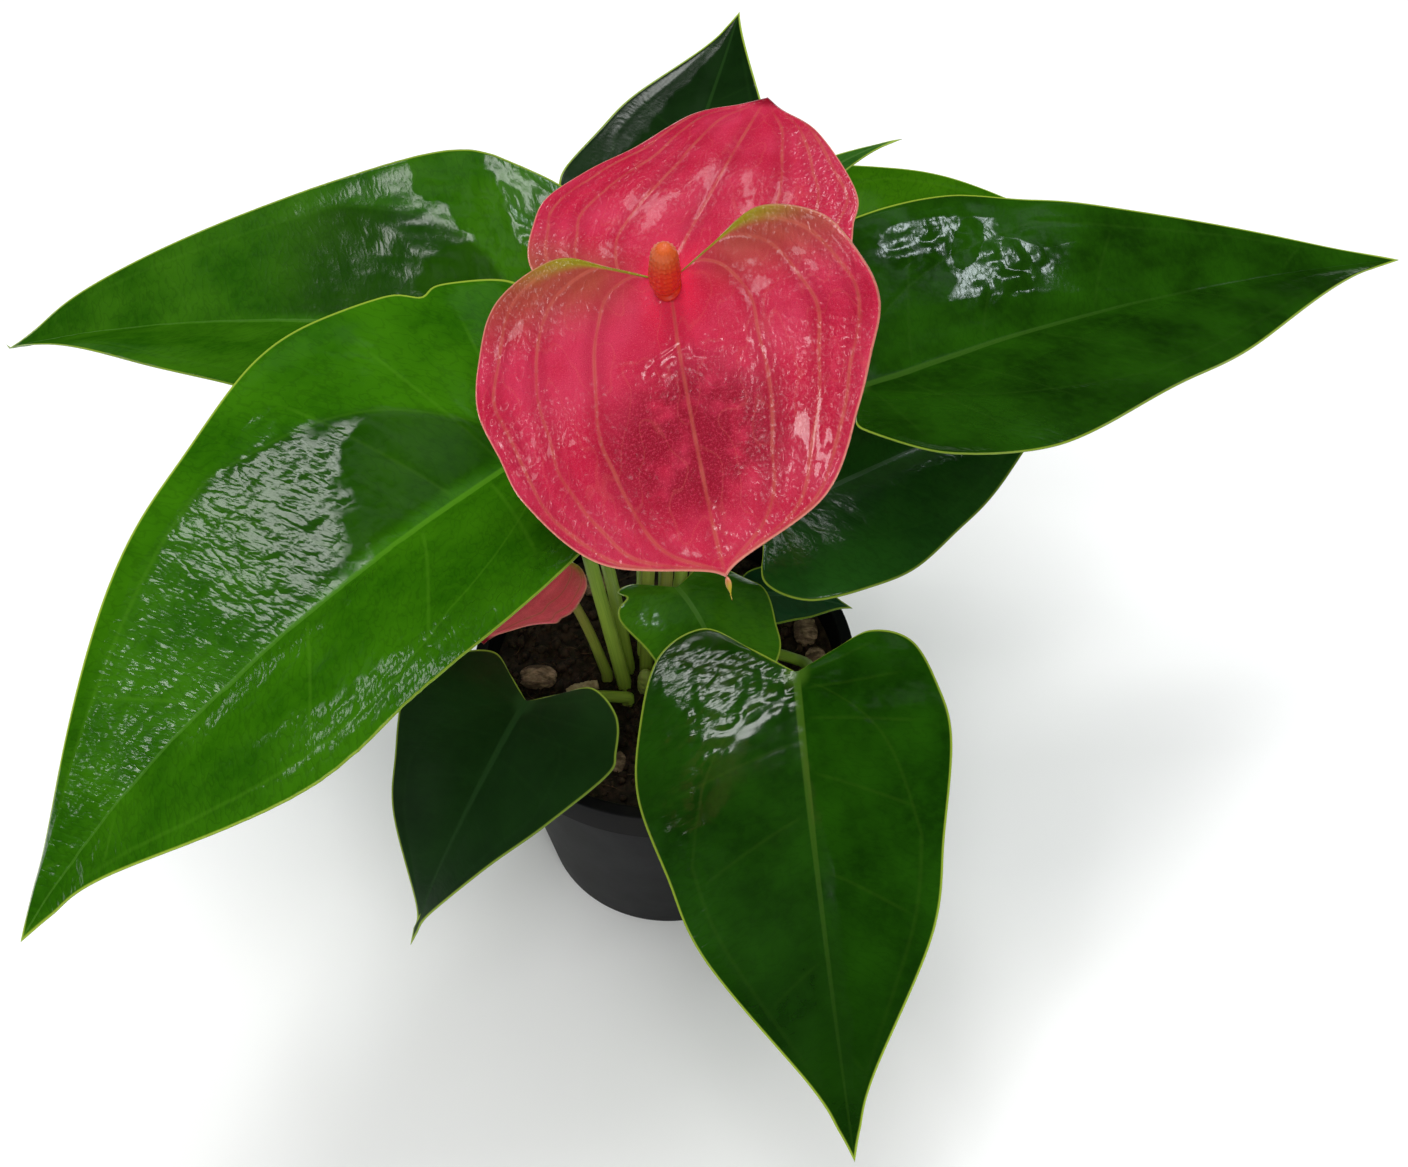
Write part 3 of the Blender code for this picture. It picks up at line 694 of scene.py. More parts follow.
@dataclass(frozen=True)
class LeafFinish:
    """The glossy finish of a leaf's blade.

    shade and light are the two greens that it drifts between, rib, rim and under are the greens of its
    midrib, margin and lower face, fold is the painted shade in its fine creases, deep is the green of the
    painted shadow and tip that of the darker tip. rough is the roughness of its wax, and veins the number of
    its side veins. painted_shadow is how much painted shadow deepens the green in the right half between the
    attach, the midrib and the collective vein. vein is how well the side veins show, rib_fade how far the
    midrib fades towards the tip, tip_shade how much deeper the green is there, crackle how deep the fine
    creases are, coat how wet it looks, spots where it is calm, and ragged how uneven their edges are.
    """

    shade: Colour
    light: Colour
    rib: Colour
    rim: Colour = (0.30, 0.42, 0.04)
    under: Colour = (0.10, 0.24, 0.04)
    # The green of the painted shade in fine creases.
    fold: Colour = (0.003, 0.018, 0.001)
    # The green of the painted shadow near the attach.
    deep: Colour = (0.004, 0.020, 0.001)
    tip: Colour = (0.003, 0.016, 0.001)
    rough: float = 0.15
    veins: int = 9
    painted_shadow: float = 0.0
    vein: float = 0.12
    rib_fade: float = 0.45
    tip_shade: float = 0.0
    crackle: float = 3.0
    coat: float = 0.10
    spots: tuple[Spot, ...] = ()
    ragged: float = 0.28

    def dress(self, name: str) -> bpy.types.Material:
        """Make the material.

        Args:
            name: Its name.

        Returns:
            The material.
        """
        blade = BladeNodes(name)
        place = blade.combine(blade.across, blade.along, blade.column * 3)
        drift = blade.noise(place, 0.035, 3.0, 0.55).ease(0.33, 0.67)
        mottle = blade.noise(place, 0.35, 3.0, 0.6)
        slanted = blade.combine(blade.across * 0.5, blade.along - abs(blade.across) * VEIN_SLANT)
        folds = abs(blade.noise(slanted, 0.42, 2.0, 0.4) - 0.5)
        green = blade.mix(drift, self.shade, self.light)
        green = blade.mix(mottle.ease(0.35, 0.7) * 0.35, green, self.light)
        # Painted shade: the fine creases are darkened in the colour as well as in the bump.
        green = blade.mix(folds.ease(0.05, 0.0) * 0.20, green, self.fold)
        green = self.add_side_veins(blade, green)
        green, rib = self.add_midrib(blade, green)
        green = blade.mix(blade.edge.ease(0.75, 0.25) * 0.9, green, self.rim)
        below = blade.mix(mottle.ease(0.3, 0.7), self.under, self.rib)
        colour = blade.mix(blade.under, green, below)
        dust = blade.noise(place, 0.9, 4.0, 0.65)
        rough = self.rough + (dust - 0.5) * 0.14 + blade.under * 0.25 + rib * 0.2
        rough, calm, matt = self.calm_spots(blade, place, rough)
        cell = blade.cells(blade.combine(blade.across, blade.along), 0.40)
        height = cell.below(0.3) * 0.5 + (folds - 0.12) * (1 - calm) * self.crackle
        fixed = {"Specular IOR Level": 0.42, "Coat Weight": self.coat, "Coat Roughness": 0.05, "IOR": 1.45}
        return blade.finish(fixed, matt, Base_Color=colour, Roughness=rough.above(0.08),
                            Normal=blade.bump(height, 0.06, 0.75))

    def add_side_veins(self, blade: BladeNodes, green: Sock) -> Sock:
        """Draw the side veins and the collective vein, and deepen the green beside them and at the tip.

        Args:
            blade: The blade's nodes.
            green: The colour under them.

        Returns:
            The colour with them.
        """
        column, share = blade.column, blade.share
        turn = (blade.row * self.veins + column.sign() * VEIN_SHIFT).fract()
        gap = abs(turn - 0.5) * blade.reach / self.veins
        band = abs(column).ease(0.86, 0.66) * abs(blade.across).ease(1.0, 5.0)
        green = blade.mix(gap.ease(0.75, 0.1) * band * self.vein, green, self.rib)
        start, end = CREST_ROWS
        crest = ((blade.row - start) / (end - start)).above(0.0).below(1.0) * CREST_SHARE
        arc = (abs(abs(column) - crest) * blade.spread).ease(0.9, 0.1)
        arc = arc * share.ease(0.98, 0.7) * crest.ease(0.05, 0.2)
        green = blade.mix(arc * self.vein, green, self.rib)
        # Painted shadow: a deeper green in the right half between the attach, the midrib and the collective
        # vein, standing in for the shade of the spathe above.
        if self.painted_shadow:
            inner = (0 - column).ease(0.02, 0.10) * (crest + column).ease(-0.06, 0.04)
            green = blade.mix(inner * share.ease(0.55, 0.35) * self.painted_shadow, green, self.deep)
        if self.tip_shade:
            green = blade.mix(share.ease(0.35, 0.85) * self.tip_shade, green, self.tip)
        return green

    def add_midrib(self, blade: BladeNodes, green: Sock) -> tuple[Sock, Sock]:
        """Draw the midrib and the star of veins round the attach.

        Args:
            blade: The blade's nodes.
            green: The colour under them.

        Returns:
            The colour with them, and where the midrib is.
        """
        share = blade.share
        width = 1.15 - share.below(1.0).above(0.0) * 0.90
        rib = (abs(blade.across) / width).ease(1.25, 0.7) * share.ease(-0.02, 0.01)
        green = blade.mix(rib * (0.85 - share.ease(0.0, 0.8) * self.rib_fade), green, self.rib)
        star = blade.length(blade.across, blade.along * 0.8)
        return blade.mix(star.ease(5.0, 1.5) * 0.9, green, self.rib), rib

    def calm_spots(self, blade: BladeNodes, place: Sock, rough: Sock) -> tuple[Sock, Value, Sock | None]:
        """Calm the spots of the upper face.

        Args:
            blade: The blade's nodes.
            place: Where a point is, for the noise that makes the spots' edges ragged.
            rough: The roughness outside the spots.

        Returns:
            The roughness, how calm a point is, and how far its shine is gone, or None if no spot takes it.
        """
        calm, matt = 0.0, None
        ragged = (blade.noise(place, 0.14, 2.0, 0.5) - 0.5) * self.ragged
        upper = 1 - blade.under
        for spot in self.spots:
            away = blade.length(*spot.offset(blade.row, blade.column))
            inside = (away + ragged * spot.raggedness()).ease(1.05, 0.97) * upper
            calm = inside.above(calm)
            if spot.matt:
                matt = (inside * spot.matt).above(matt or 0.0)
            else:
                rough = rough + (spot.rough - rough) * inside
        return rough, calm, matt


@dataclass(frozen=True)
class SpatheFinish:
    """The waxy finish of a spathe, with arched veins.

    pink and pale are the two pinks that it drifts between, wine_and_groove_shade is that of its blotch, its
    dark specks and the painted shade in the grooves beside its veins, heart is at the foot of the spadix, web
    and speck are its fine marks, and olive, lime and margin lie at the lobes, at the notch between them and
    along the rim. vein is the core of a vein and worn the paler line round it, and each arch is how far out a
    vein starts and how far out it swings. under holds the two pinks of the lower face. A spurred spathe has a
    spur in that colour for its tip, and another a tip in wine_and_groove_shade.
    """

    name: str
    pink: Colour = (0.45, 0.010, 0.040)
    pale: Colour = (0.55, 0.034, 0.086)
    wine_and_groove_shade: Colour = (0.21, 0.004, 0.016)
    heart: Colour = (0.88, 0.020, 0.072)
    web: Colour = (0.60, 0.12, 0.10)
    speck: Colour = (0.78, 0.20, 0.24)
    olive: Colour = (0.21, 0.076, 0.024)
    lime: Colour = (0.24, 0.20, 0.012)
    margin: Colour = (0.66, 0.26, 0.18)
    vein: Colour = (0.36, 0.045, 0.030)
    worn: Colour = (0.56, 0.15, 0.11)
    spur: Colour = (0.34, 0.27, 0.015)
    under: tuple[Colour, Colour] = ((0.62, 0.15, 0.13), (0.50, 0.16, 0.10))
    arches: tuple[tuple[float, float], ...] = ((0.24, 0.34), (0.58, 0.24), (0.86, 0.08))
    rough: float = 0.16
    wine_share: float = 0.9
    heart_share: float = 0.8
    olive_share: float = 0.62
    spurred: bool = False

    def dress(self) -> bpy.types.Material:
        """Make the material.

        Returns:
            The material.
        """
        blade = BladeNodes(self.name)
        place = blade.combine(blade.across, blade.along)
        drift = blade.noise(place, 0.045, 3.0, 0.6)
        fleck = blade.noise(place, 1.7, 3.0, 0.7)
        colour = blade.mix(drift.ease(0.35, 0.65) * 0.75, self.pink, self.pale)
        colour = self.add_marks(blade, place, fleck, colour)
        colour = self.add_veins(blade, place, colour)
        notch = blade.edge.ease(5.5, 2.0) * blade.row.ease(0.30, 0.18)
        colour = blade.mix(notch, colour, self.lime)
        rim = blade.edge.ease(0.55, 0.15) * blade.row.ease(0.14, 0.3)
        colour = blade.mix(rim * 0.7, colour, self.margin)
        colour = blade.mix(blade.share.ease(0.92, 0.97), colour, self.spur if self.spurred else self.wine_and_groove_shade)
        colour = blade.mix(blade.under, colour, blade.mix(drift.ease(0.3, 0.7), *self.under))
        rough = self.rough + (fleck - 0.5) * 0.10 + blade.under * 0.2
        wrinkle = abs(blade.noise(blade.combine(blade.across, blade.along * 0.6), 0.38, 2.0, 0.5) - 0.5)
        height = wrinkle * (3.0 + abs(blade.column).ease(0.4, 0.9) * 8.0) + fleck * 0.2
        fixed = {"Specular IOR Level": 0.40, "Coat Weight": 0.25, "Coat Roughness": 0.04, "IOR": 1.45,
                 "Subsurface Weight": 0.05}
        return blade.finish(fixed, Base_Color=colour, Roughness=rough.above(0.08),
                            Normal=blade.bump(height, 0.10, 0.75))

    def add_marks(self, blade: BladeNodes, place: Sock, fleck: Sock, colour: Sock) -> Sock:
        """Add the blotch in wine_and_groove_shade, the heart, flecks, a fine web, specks and the olive lobes.

        Args:
            blade: The blade's nodes.
            place: Where a point is.
            fleck: The noise of the flecks.
            colour: The colour under them.

        Returns:
            The colour with them.
        """
        middle = blade.length(blade.across * 0.040, (blade.share - 0.50) * 3.5)
        blotch = middle.ease(1.15, 0.45) * blade.noise(place, 0.08, 3.0, 0.6).ease(0.30, 0.52)
        colour = blade.mix(blotch * self.wine_share, colour, self.wine_and_groove_shade)
        heart = blade.share.ease(0.26, 0.02) * abs(blade.across).ease(9.0, 1.0)
        colour = blade.mix(heart * self.heart_share, colour, self.heart)
        colour = blade.mix(fleck.ease(0.50, 0.66) * 0.55, colour, self.pale)
        web = abs(blade.noise(blade.combine(blade.across, blade.along * 0.5), 0.13, 1.0, 0.4) - 0.5)
        colour = blade.mix(web.ease(0.016, 0.003) * 0.12, colour, self.web)
        speck = blade.noise(place, 4.5, 2.0, 0.6)
        colour = blade.mix(speck.ease(0.58, 0.70) * 0.24, colour, self.speck)
        colour = blade.mix(speck.ease(0.44, 0.30) * 0.55, colour, self.wine_and_groove_shade)
        lobes = blade.share.ease(0.13, -0.10) * abs(blade.across).ease(3.0, 18.0)
        return blade.mix(lobes * self.olive_share, colour, self.olive)

    def add_veins(self, blade: BladeNodes, place: Sock, colour: Sock) -> Sock:
        """Draw the midrib and the arched veins, each in a band of painted groove shade, with a worn pale line
        and a core in it.

        Args:
            blade: The blade's nodes.
            place: Where a point is.
            colour: The colour under them.

        Returns:
            The colour with them.
        """
        gap = abs(blade.across)
        wander = (blade.noise(place, 0.05, 1.0) - 0.5) * 0.09
        for start, swing in self.arches:
            gap = gap.below(abs(abs(blade.column) + wander - (blade.row * swing + start)) * blade.spread)
        reach = blade.share.ease(0.99, 0.80)
        # Painted shade: a darker band along each vein, standing in for the shade in the groove beside it.
        colour = blade.mix(gap.ease(4.0, 1.2) * 0.24 * reach, colour, self.wine_and_groove_shade)
        worn = blade.noise(place, 0.11, 2.0).ease(0.34, 0.62) * 0.7 + 0.3
        colour = blade.mix(gap.ease(0.70, 0.12) * 0.36 * reach * worn, colour, self.worn)
        return blade.mix(gap.ease(0.26, 0.06) * 0.40 * reach, colour, self.vein)


@dataclass(frozen=True)
class StalkFinish:
    """The smooth finish of a stalk, from its colour at the foot to its colour under the blade."""

    name: str
    foot: Colour
    top: Colour
    streak: Colour
    speck: Colour = (0.35, 0.42, 0.16)

    def dress(self) -> bpy.types.Material:
        """Make the material.

        Returns:
            The material.
        """
        nodes = Nodes(self.name)
        share, turn, girth = nodes.attribute("share")
        place = nodes.combine(turn * 6.0, share * 2.0, girth)
        streaks = nodes.noise(place, 2.0, 3.0, 0.6)
        specks = nodes.noise(nodes.combine(turn * 9.0, share * 60.0), 2.5, 2.0)
        colour = nodes.mix(share.ease(0.0, 1.0), self.foot, self.top)
        colour = nodes.mix(streaks.ease(0.42, 0.66) * 0.5, colour, self.streak)
        colour = nodes.mix(specks.ease(0.62, 0.75) * 0.35, colour, self.speck)
        height = streaks * 0.7 + specks * 0.4
        rough = 0.36 + (specks - 0.5) * 0.2
        fixed = {"Coat Weight": 0.15, "Coat Roughness": 0.25, "IOR": 1.45}
        return nodes.finish(fixed, Base_Color=colour, Roughness=rough, Normal=nodes.bump(height, 0.12, 0.6))


@dataclass(frozen=True)
class SpadixFinish:
    """The waxy orange finish of a spadix, dark red at its collar and paler at the tip."""

    name: str
    orange: Colour = (0.74, 0.050, 0.012)
    red: Colour = (0.62, 0.012, 0.010)
    tip: Colour = (0.56, 0.110, 0.016)

    def dress(self) -> bpy.types.Material:
        """Make the material.

        Returns:
            The material.
        """
        nodes = Nodes(self.name)
        share, turn, bead = nodes.attribute("share")
        place = nodes.combine(turn * 5.0, share * 12.0)
        blush = nodes.noise(place, 1.0, 3.0)
        colour = nodes.mix(blush.ease(0.35, 0.65) * 0.6, self.orange, self.red)
        colour = nodes.mix(share.ease(0.26, 0.10), colour, self.red)
        colour = nodes.mix(share.ease(0.62, 0.92) * 0.8, colour, self.tip)
        colour = nodes.mix(bead.ease(0.5, 1.0) * 0.25, colour, self.tip)
        rough = 0.26 + (blush - 0.5) * 0.2 + share.ease(0.6, 0.95) * 0.25
        height = nodes.noise(nodes.combine(turn * 20.0, share * 40.0), 1.5, 3.0)
        fixed = {"Coat Weight": 0.15, "Coat Roughness": 0.12, "Subsurface Weight": 0.08, "IOR": 1.45}
        return nodes.finish(fixed, Base_Color=colour, Roughness=rough, Normal=nodes.bump(height, 0.08, 0.6))


@dataclass(frozen=True)
class EarthFinish:
    """The rough finish of something earthy, with two colours in patches.

    grain is how many grains go to a metre, rough its roughness, depth its relief in millimetres, and stretch
    how much finer it is from front to back than from side to side.
    """

    name: str
    dark: Colour
    light: Colour
    grain: float
    rough: float = 0.9
    depth: float = 0.6
    stretch: float = 1.0

    def dress(self) -> bpy.types.Material:
        """Make the material.

        Returns:
            The material.
        """
        nodes = Nodes(self.name)
        place = nodes.node("ShaderNodeVectorMath", {"operation": "MULTIPLY"},
                           {0: nodes.place(), 1: (1.0, self.stretch, 1.0)})
        patch = nodes.noise(place, self.grain * 0.35, 4.0, 0.6)
        grain = nodes.noise(place, self.grain, 5.0, 0.7)
        colour = nodes.mix(patch.ease(0.38, 0.66), self.dark, self.light)
        colour = nodes.mix(grain.ease(0.60, 0.36) * 0.6, colour, self.dark)
        rough = self.rough + (patch - 0.5) * 0.2
        height = grain * 0.8 + patch * 0.6
        fixed = {"Specular IOR Level": 0.35}
        return nodes.finish(fixed, Base_Color=colour, Roughness=rough.below(1.0),
                            Normal=nodes.bump(height, self.depth, 0.9))


@dataclass(frozen=True)
class PotFinish:
    """The satin black plastic of the pot, with a moulded grain and smears of dust."""

    name: str = "pot_plastic"
    black: Colour = (0.005, 0.005, 0.006)
    dust: Colour = (0.014, 0.013, 0.011)

    def dress(self) -> bpy.types.Material:
        """Make the material.

        Returns:
            The material.
        """
        nodes = Nodes(self.name)
        place = nodes.place()
        grain = nodes.noise(place, 1600.0, 2.0)
        smear = nodes.noise(place, 45.0, 4.0, 0.6)
        colour = nodes.mix(smear.ease(0.45, 0.75) * 0.5, self.black, self.dust)
        rough = 0.42 + smear * 0.2
        return nodes.finish({"Specular IOR Level": 0.07}, Base_Color=colour, Roughness=rough,
                            Normal=nodes.bump(grain, 0.05, 0.5))


@dataclass(frozen=True)
class FloorFinish:
    """The plain pale floor."""

    name: str = "pale_floor"
    white: Colour = (0.97, 0.97, 0.97)

    def dress(self) -> bpy.types.Material:
        """Make the material.

        Returns:
            The material.
        """
        nodes = Nodes(self.name)
        return nodes.finish({"Base Color": self.white, "Roughness": 0.9, "Specular IOR Level": 0.1})


def add_piece(name: str, mesh: bpy.types.Mesh, material: bpy.types.Material, slot: str,
              *replaced: str) -> None:
    """Add a piece to the scene and to the frame.

    Args:
        name: The piece's name.
        mesh: Its mesh, in metres, in the row frame.
        material: Its finish.
        slot: The name of a material slot, which is not used.
        replaced: The solids that it stands for.
    """
    mesh.name = name
    mesh.materials.append(material)
    piece = bpy.data.objects.new(name, mesh)
    bpy.context.scene.collection.objects.link(piece)
    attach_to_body(piece, BODY)
    if replaced:
        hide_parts(*replaced)
    LOG.info("%s: %d faces", name, len(mesh.polygons))


def make_mesh(points: np.ndarray, faces: list[list[int]], attributes: dict[str, np.ndarray] | None = None,
              merge: float = 0.0) -> bpy.types.Mesh:
    """Make a smoothly shaded mesh.

    Args:
        points: Its points in millimetres.
        faces: The numbers of each face's points.
        attributes: Vectors to keep at each point, by name.
        merge: How near two points are joined, in millimetres.

    Returns:
        The mesh, in metres.
    """
    mesh = bpy.data.meshes.new("piece")
    mesh.from_pydata((points * MM).tolist(), [], faces)
    for name, values in (attributes or {}).items():
        layer = mesh.attributes.new(name, "FLOAT_VECTOR", "POINT")
        layer.data.foreach_set("vector", np.ascontiguousarray(values, np.float32).ravel())
    if merge:
        shape = bmesh.new()
        shape.from_mesh(mesh)
        bmesh.ops.remove_doubles(shape, verts=shape.verts, dist=merge * MM)
        bmesh.ops.dissolve_degenerate(shape, edges=shape.edges, dist=merge * MM / 2)
        shape.to_mesh(mesh)
        shape.free()
    mesh.shade_smooth()
    return mesh


def grid_faces(rows: int, columns: int, first: int = 0, closed: bool = False,
               flip: bool = False) -> np.ndarray:
    """Number the faces of a grid of points.

    Args:
        rows: How many rows of points there are.
        columns: How many points a row has.
        first: The number of the first point.
        closed: Whether the last column joins the first.
        flip: Whether the faces look the other way.

    Returns:
        Four point numbers for each face.
    """
    steps = columns if closed else columns - 1
    i, j = np.meshgrid(np.arange(rows - 1), np.arange(steps), indexing="ij")
    k = (j + 1) % columns
    quads = np.stack([i * columns + j, i * columns + k, (i + 1) * columns + k, (i + 1) * columns + j], -1)
    quads = quads.reshape(-1, 4) + first
    return quads[:, ::-1] if flip else quads


def settle(shape: bmesh.types.BMesh, name: str) -> bpy.types.Mesh:
    """Turn a shape that is being built into a mesh.

    Args:
        shape: The shape, which is freed.
        name: The mesh's name.

    Returns:
        The mesh.
    """
    mesh = bpy.data.meshes.new(name)
    shape.to_mesh(mesh)
    shape.free()
    return mesh


def in_order(cut: bpy.types.Mesh) -> bpy.types.Mesh:
    """List a cut mesh's points and faces in a fixed order, because the cut's own differs from run to run.

    Args:
        cut: The mesh, which is removed.

    Returns:
        The same shape, smoothly shaded.
    """
    points = np.array([point.co for point in cut.vertices])
    order = np.lexsort(points.T)
    rank = np.argsort(order).tolist()
    faces = [[rank[number] for number in face.vertices] for face in cut.polygons]
    starts = [face.index(min(face)) for face in faces]
    bpy.data.meshes.remove(cut)
    return make_mesh(points[order] / MM, sorted(face[at:] + face[:at] for face, at in zip(faces, starts)))


@dataclass(frozen=True)
class Grid:
    """The grid of a blade's mesh: one number, or one place in space, for each of its points.

    along and across are where a point lies when the blade is laid flat, and edge is how far the margin is
    from it. reach and spread turn a difference of rows or of columns there into millimetres.
    """

    row: np.ndarray
    column: np.ndarray
    along: np.ndarray
    across: np.ndarray
    reach: np.ndarray
    spread: np.ndarray
    edge: np.ndarray
    places: np.ndarray

    @property
    def slant(self) -> np.ndarray:
        """Give how far along each point is, counted back along the slanting side veins."""
        return self.along - np.abs(self.across) * VEIN_SLANT


@dataclass
class BladePiece:
    """A blade's fine mesh: two faces with veins and quilting in relief, joined round the margin.

    rows run from the attach to the tip, and columns from the right margin to the left. quilt is how far the
    surface puffs up between veins, pucker how far it crinkles, sway how far it undulates and swell how far
    the left and the right half rise at the collective vein.
    """

    blade: Blade
    rows: int
    columns: int
    seed: int
    veins: Veins = Veins.FEATHERED
    vein_count: int = 9
    arches: tuple[tuple[float, float], ...] = ()
    creases: tuple[Crease, ...] = ()
    patches: tuple[Patch, ...] = ()
    spots: tuple[Spot, ...] = ()
    swell: tuple[float, float] = (0.0, 0.0)
    thickness: float = 0.5
    quilt: float = 0.07
    pucker: float = 0.07
    sway: float = 0.4
    surface: Surface = field(init=False)

    def __post_init__(self) -> None:
        """Make the middle surface."""
        self.surface = Surface(self.blade)

    def lay_out(self) -> Grid:
        """Lay out the grid and measure it.

        Returns:
            The grid.
        """
        u = np.linspace(0, 1, self.rows)
        v = np.linspace(-1, 1, self.columns)
        row, column = (part.ravel() for part in np.meshgrid(u, v, indexing="ij"))
        along, across = self.surface.flat(row, column)
        flat = np.stack([across, along], -1).reshape(self.rows, self.columns, 2)
        down = np.gradient(flat, u, axis=0)
        over = np.gradient(flat, v, axis=1)
        cross = np.abs(down[..., 0] * over[..., 1] - down[..., 1] * over[..., 0])
        reach = cross / np.maximum(np.linalg.norm(over, axis=-1), 1e-6)
        spread = cross / np.maximum(np.linalg.norm(down, axis=-1), 1e-6)
        edge = (1 - np.abs(v)) * np.where(v >= 0, spread[:, -1:], spread[:, :1])
        return Grid(row, column, along, across, reach.ravel(), spread.ravel(), edge.ravel(),
                    self.surface.points(row, column))

    def share(self, grid: Grid) -> np.ndarray:
        """Give how far along the midrib each grid point is, from 0 at the attach to 1 at the tip."""
        return np.clip(grid.along / self.surface.length, 0, 1)

    def normals(self, grid: Grid) -> np.ndarray:
        """Give the upward normal at each grid point, and the midrib's own where the grid closes up.

        Args:
            grid: The grid.

        Returns:
            One vector of length 1 for each point.
        """
        points = grid.places.reshape(self.rows, self.columns, 3)
        crossed = np.cross(np.gradient(points, axis=1), np.gradient(points, axis=0)).reshape(-1, 3)
        size = np.linalg.norm(crossed, axis=-1)
        _, _, upward = self.surface.frame(grid.along)
        normal = np.where((size > 1e-6)[:, None], unit(crossed), upward)
        return normal * np.where((normal * upward).sum(-1) < 0, -1.0, 1.0)[:, None]

    def rib(self, grid: Grid) -> np.ndarray:
        """Give how much of the midrib is at each grid point: it thins and sinks towards the tip.

        Args:
            grid: The grid.

        Returns:
            Shares from 0 to 1.
        """
        share = self.share(grid)
        return bell(grid.across, 1.1 - 0.7 * share) * ease(grid.along, -2, 4) * (1 - 0.5 * share)

    def feathered(self, grid: Grid, crest: np.ndarray) -> tuple[np.ndarray, np.ndarray]:
        """Give the relief of a leaf's veins, which lie in shallow troughs with the blade puffed up between.

        Args:
            grid: The grid.
            crest: The column of the collective vein at each point.

        Returns:
            The height of both faces, and how much further the veins stand out below.
        """
        share, rib, out = self.share(grid), self.rib(grid), np.abs(grid.column)
        trough = bell(grid.across, 4.5) * ease(grid.along, 0, 15) * (1 - 0.6 * share)
        turn = np.mod(grid.row * self.vein_count + VEIN_SHIFT * np.sign(grid.column), 1)
        gap = np.abs(turn - 0.5) * grid.reach / self.vein_count
        band = ease(out, 0.86, 0.62) * ease(np.abs(grid.across), 1.5, 6.0)
        arc = bell((out - crest) * grid.spread, 0.9) * ease(crest, 0.1, 0.3)
        height = ease(grid.along, 4, 20) * (0.06 * rib - 0.16 * trough)
        height += self.quilt * (1 - bell(gap, 2.6)) * band - 0.04 * bell(gap, 0.6) * band
        height -= 0.10 * arc * ease(share, 0.95, 0.6)
        return height, 0.9 * rib + 0.22 * bell(gap, 0.7) * band

    def arched(self, grid: Grid) -> tuple[np.ndarray, np.ndarray]:
        """Give the relief of a spathe's arched veins and of its thick rim.

        Args:
            grid: The grid.

        Returns:
            The height of both faces, and how much further the veins stand out below.
        """
        share, out = self.share(grid), np.abs(grid.column)
        gap = np.abs(grid.across)
        for start, swing in self.arches:
            gap = np.minimum(gap, np.abs(out - start - swing * grid.row) * grid.spread)
        strength = ease(share, 0.97, 0.75) * ease(share, -0.2, 0.1)
        height = strength * (0.05 * bell(gap, 0.5) - 0.15 * bell(gap, 4.5))
        height += 0.2 * bell(grid.edge - 0.9, 1.0)
        return height, 0.3 * bell(gap, 0.8) * strength + 0.4 * self.rib(grid)

    def swelling(self, grid: Grid, crest: np.ndarray) -> np.ndarray:
        """Give how far the halves rise, each as a tent whose ridge is the collective vein.

        Args:
            grid: The grid.
            crest: The column of the collective vein at each point.

        Returns:
            The height of both faces.
        """
        out, peak = np.abs(grid.column), np.maximum(crest, 0.05)
        tent = np.minimum(out / peak, (1 - out) / (1 - peak))
        rise = np.where(grid.column > 0, *self.swell)
        return rise * tent * ease(crest, 0.05, 0.3) * np.sin(np.pi * grid.row)

    def relief(self, grid: Grid) -> tuple[np.ndarray, np.ndarray]:
        """Give the relief of the whole blade.

        Args:
            grid: The grid.

        Returns:
            The height of both faces along the normal, and how much further the underside stands out.
        """
        lumps, fine = Lumps(self.seed), Lumps(self.seed + 1)
        across, column, slant = grid.across, grid.column, grid.slant
        first, last = CREST_ROWS
        crest = CREST_SHARE * np.clip((grid.row - first) / (last - first), 0, 1)
        crinkle = np.sqrt(fine.at(across, slant * 1.8, 6.5) ** 2 + 0.01)
        crinkle += 0.5 * np.sqrt(fine.at(across + 50, slant * 1.4, 3.2) ** 2 + 0.01)
        if self.veins is Veins.FEATHERED:
            height, under = self.feathered(grid, crest)
        else:
            height, under = self.arched(grid)
            crinkle = crinkle * (0.35 + 0.9 * ease(np.abs(column), 0.35, 0.95))
        for crease in self.creases:
            height -= crease.depth_at(grid)
        for patch in self.patches:
            height += patch.height_at(grid, lumps)
        height += self.swelling(grid, crest)
        for spot in self.spots:
            away = np.hypot(*spot.offset(grid.row, column))
            crinkle = 0.5 + (crinkle - 0.5) * (1 - 0.75 * ease(away, 1.0, 0.8))
        sway = lumps.at(across, grid.along, 30.0) + 0.5 * lumps.at(across + 99, grid.along, 14.0)
        distance = np.hypot(across, grid.along)
        inside = ease(grid.edge, 0.0, 5.0)
        height += (self.pucker * (crinkle - 0.5) + self.sway * sway * ease(distance, 4.0, 16.0)) * inside
        return height * ease(distance, 0.5, 5.0), under * inside

    def faces(self) -> list[list[int]]:
        """Number the faces of the upper and the lower sheet and of the strip round the margin.

        Returns:
            Four point numbers for each face.
        """
        count = self.rows * self.columns
        right = np.arange(self.rows) * self.columns
        left = right + self.columns - 1
        strips = [np.stack([rim[:-1], rim[1:], rim[1:] + count, rim[:-1] + count], -1)
                  for rim in (left, right)]
        upper = grid_faces(self.rows, self.columns, flip=True)
        lower = grid_faces(self.rows, self.columns, count)
        return np.vstack([upper, lower, strips[0][:, ::-1], strips[1]]).tolist()

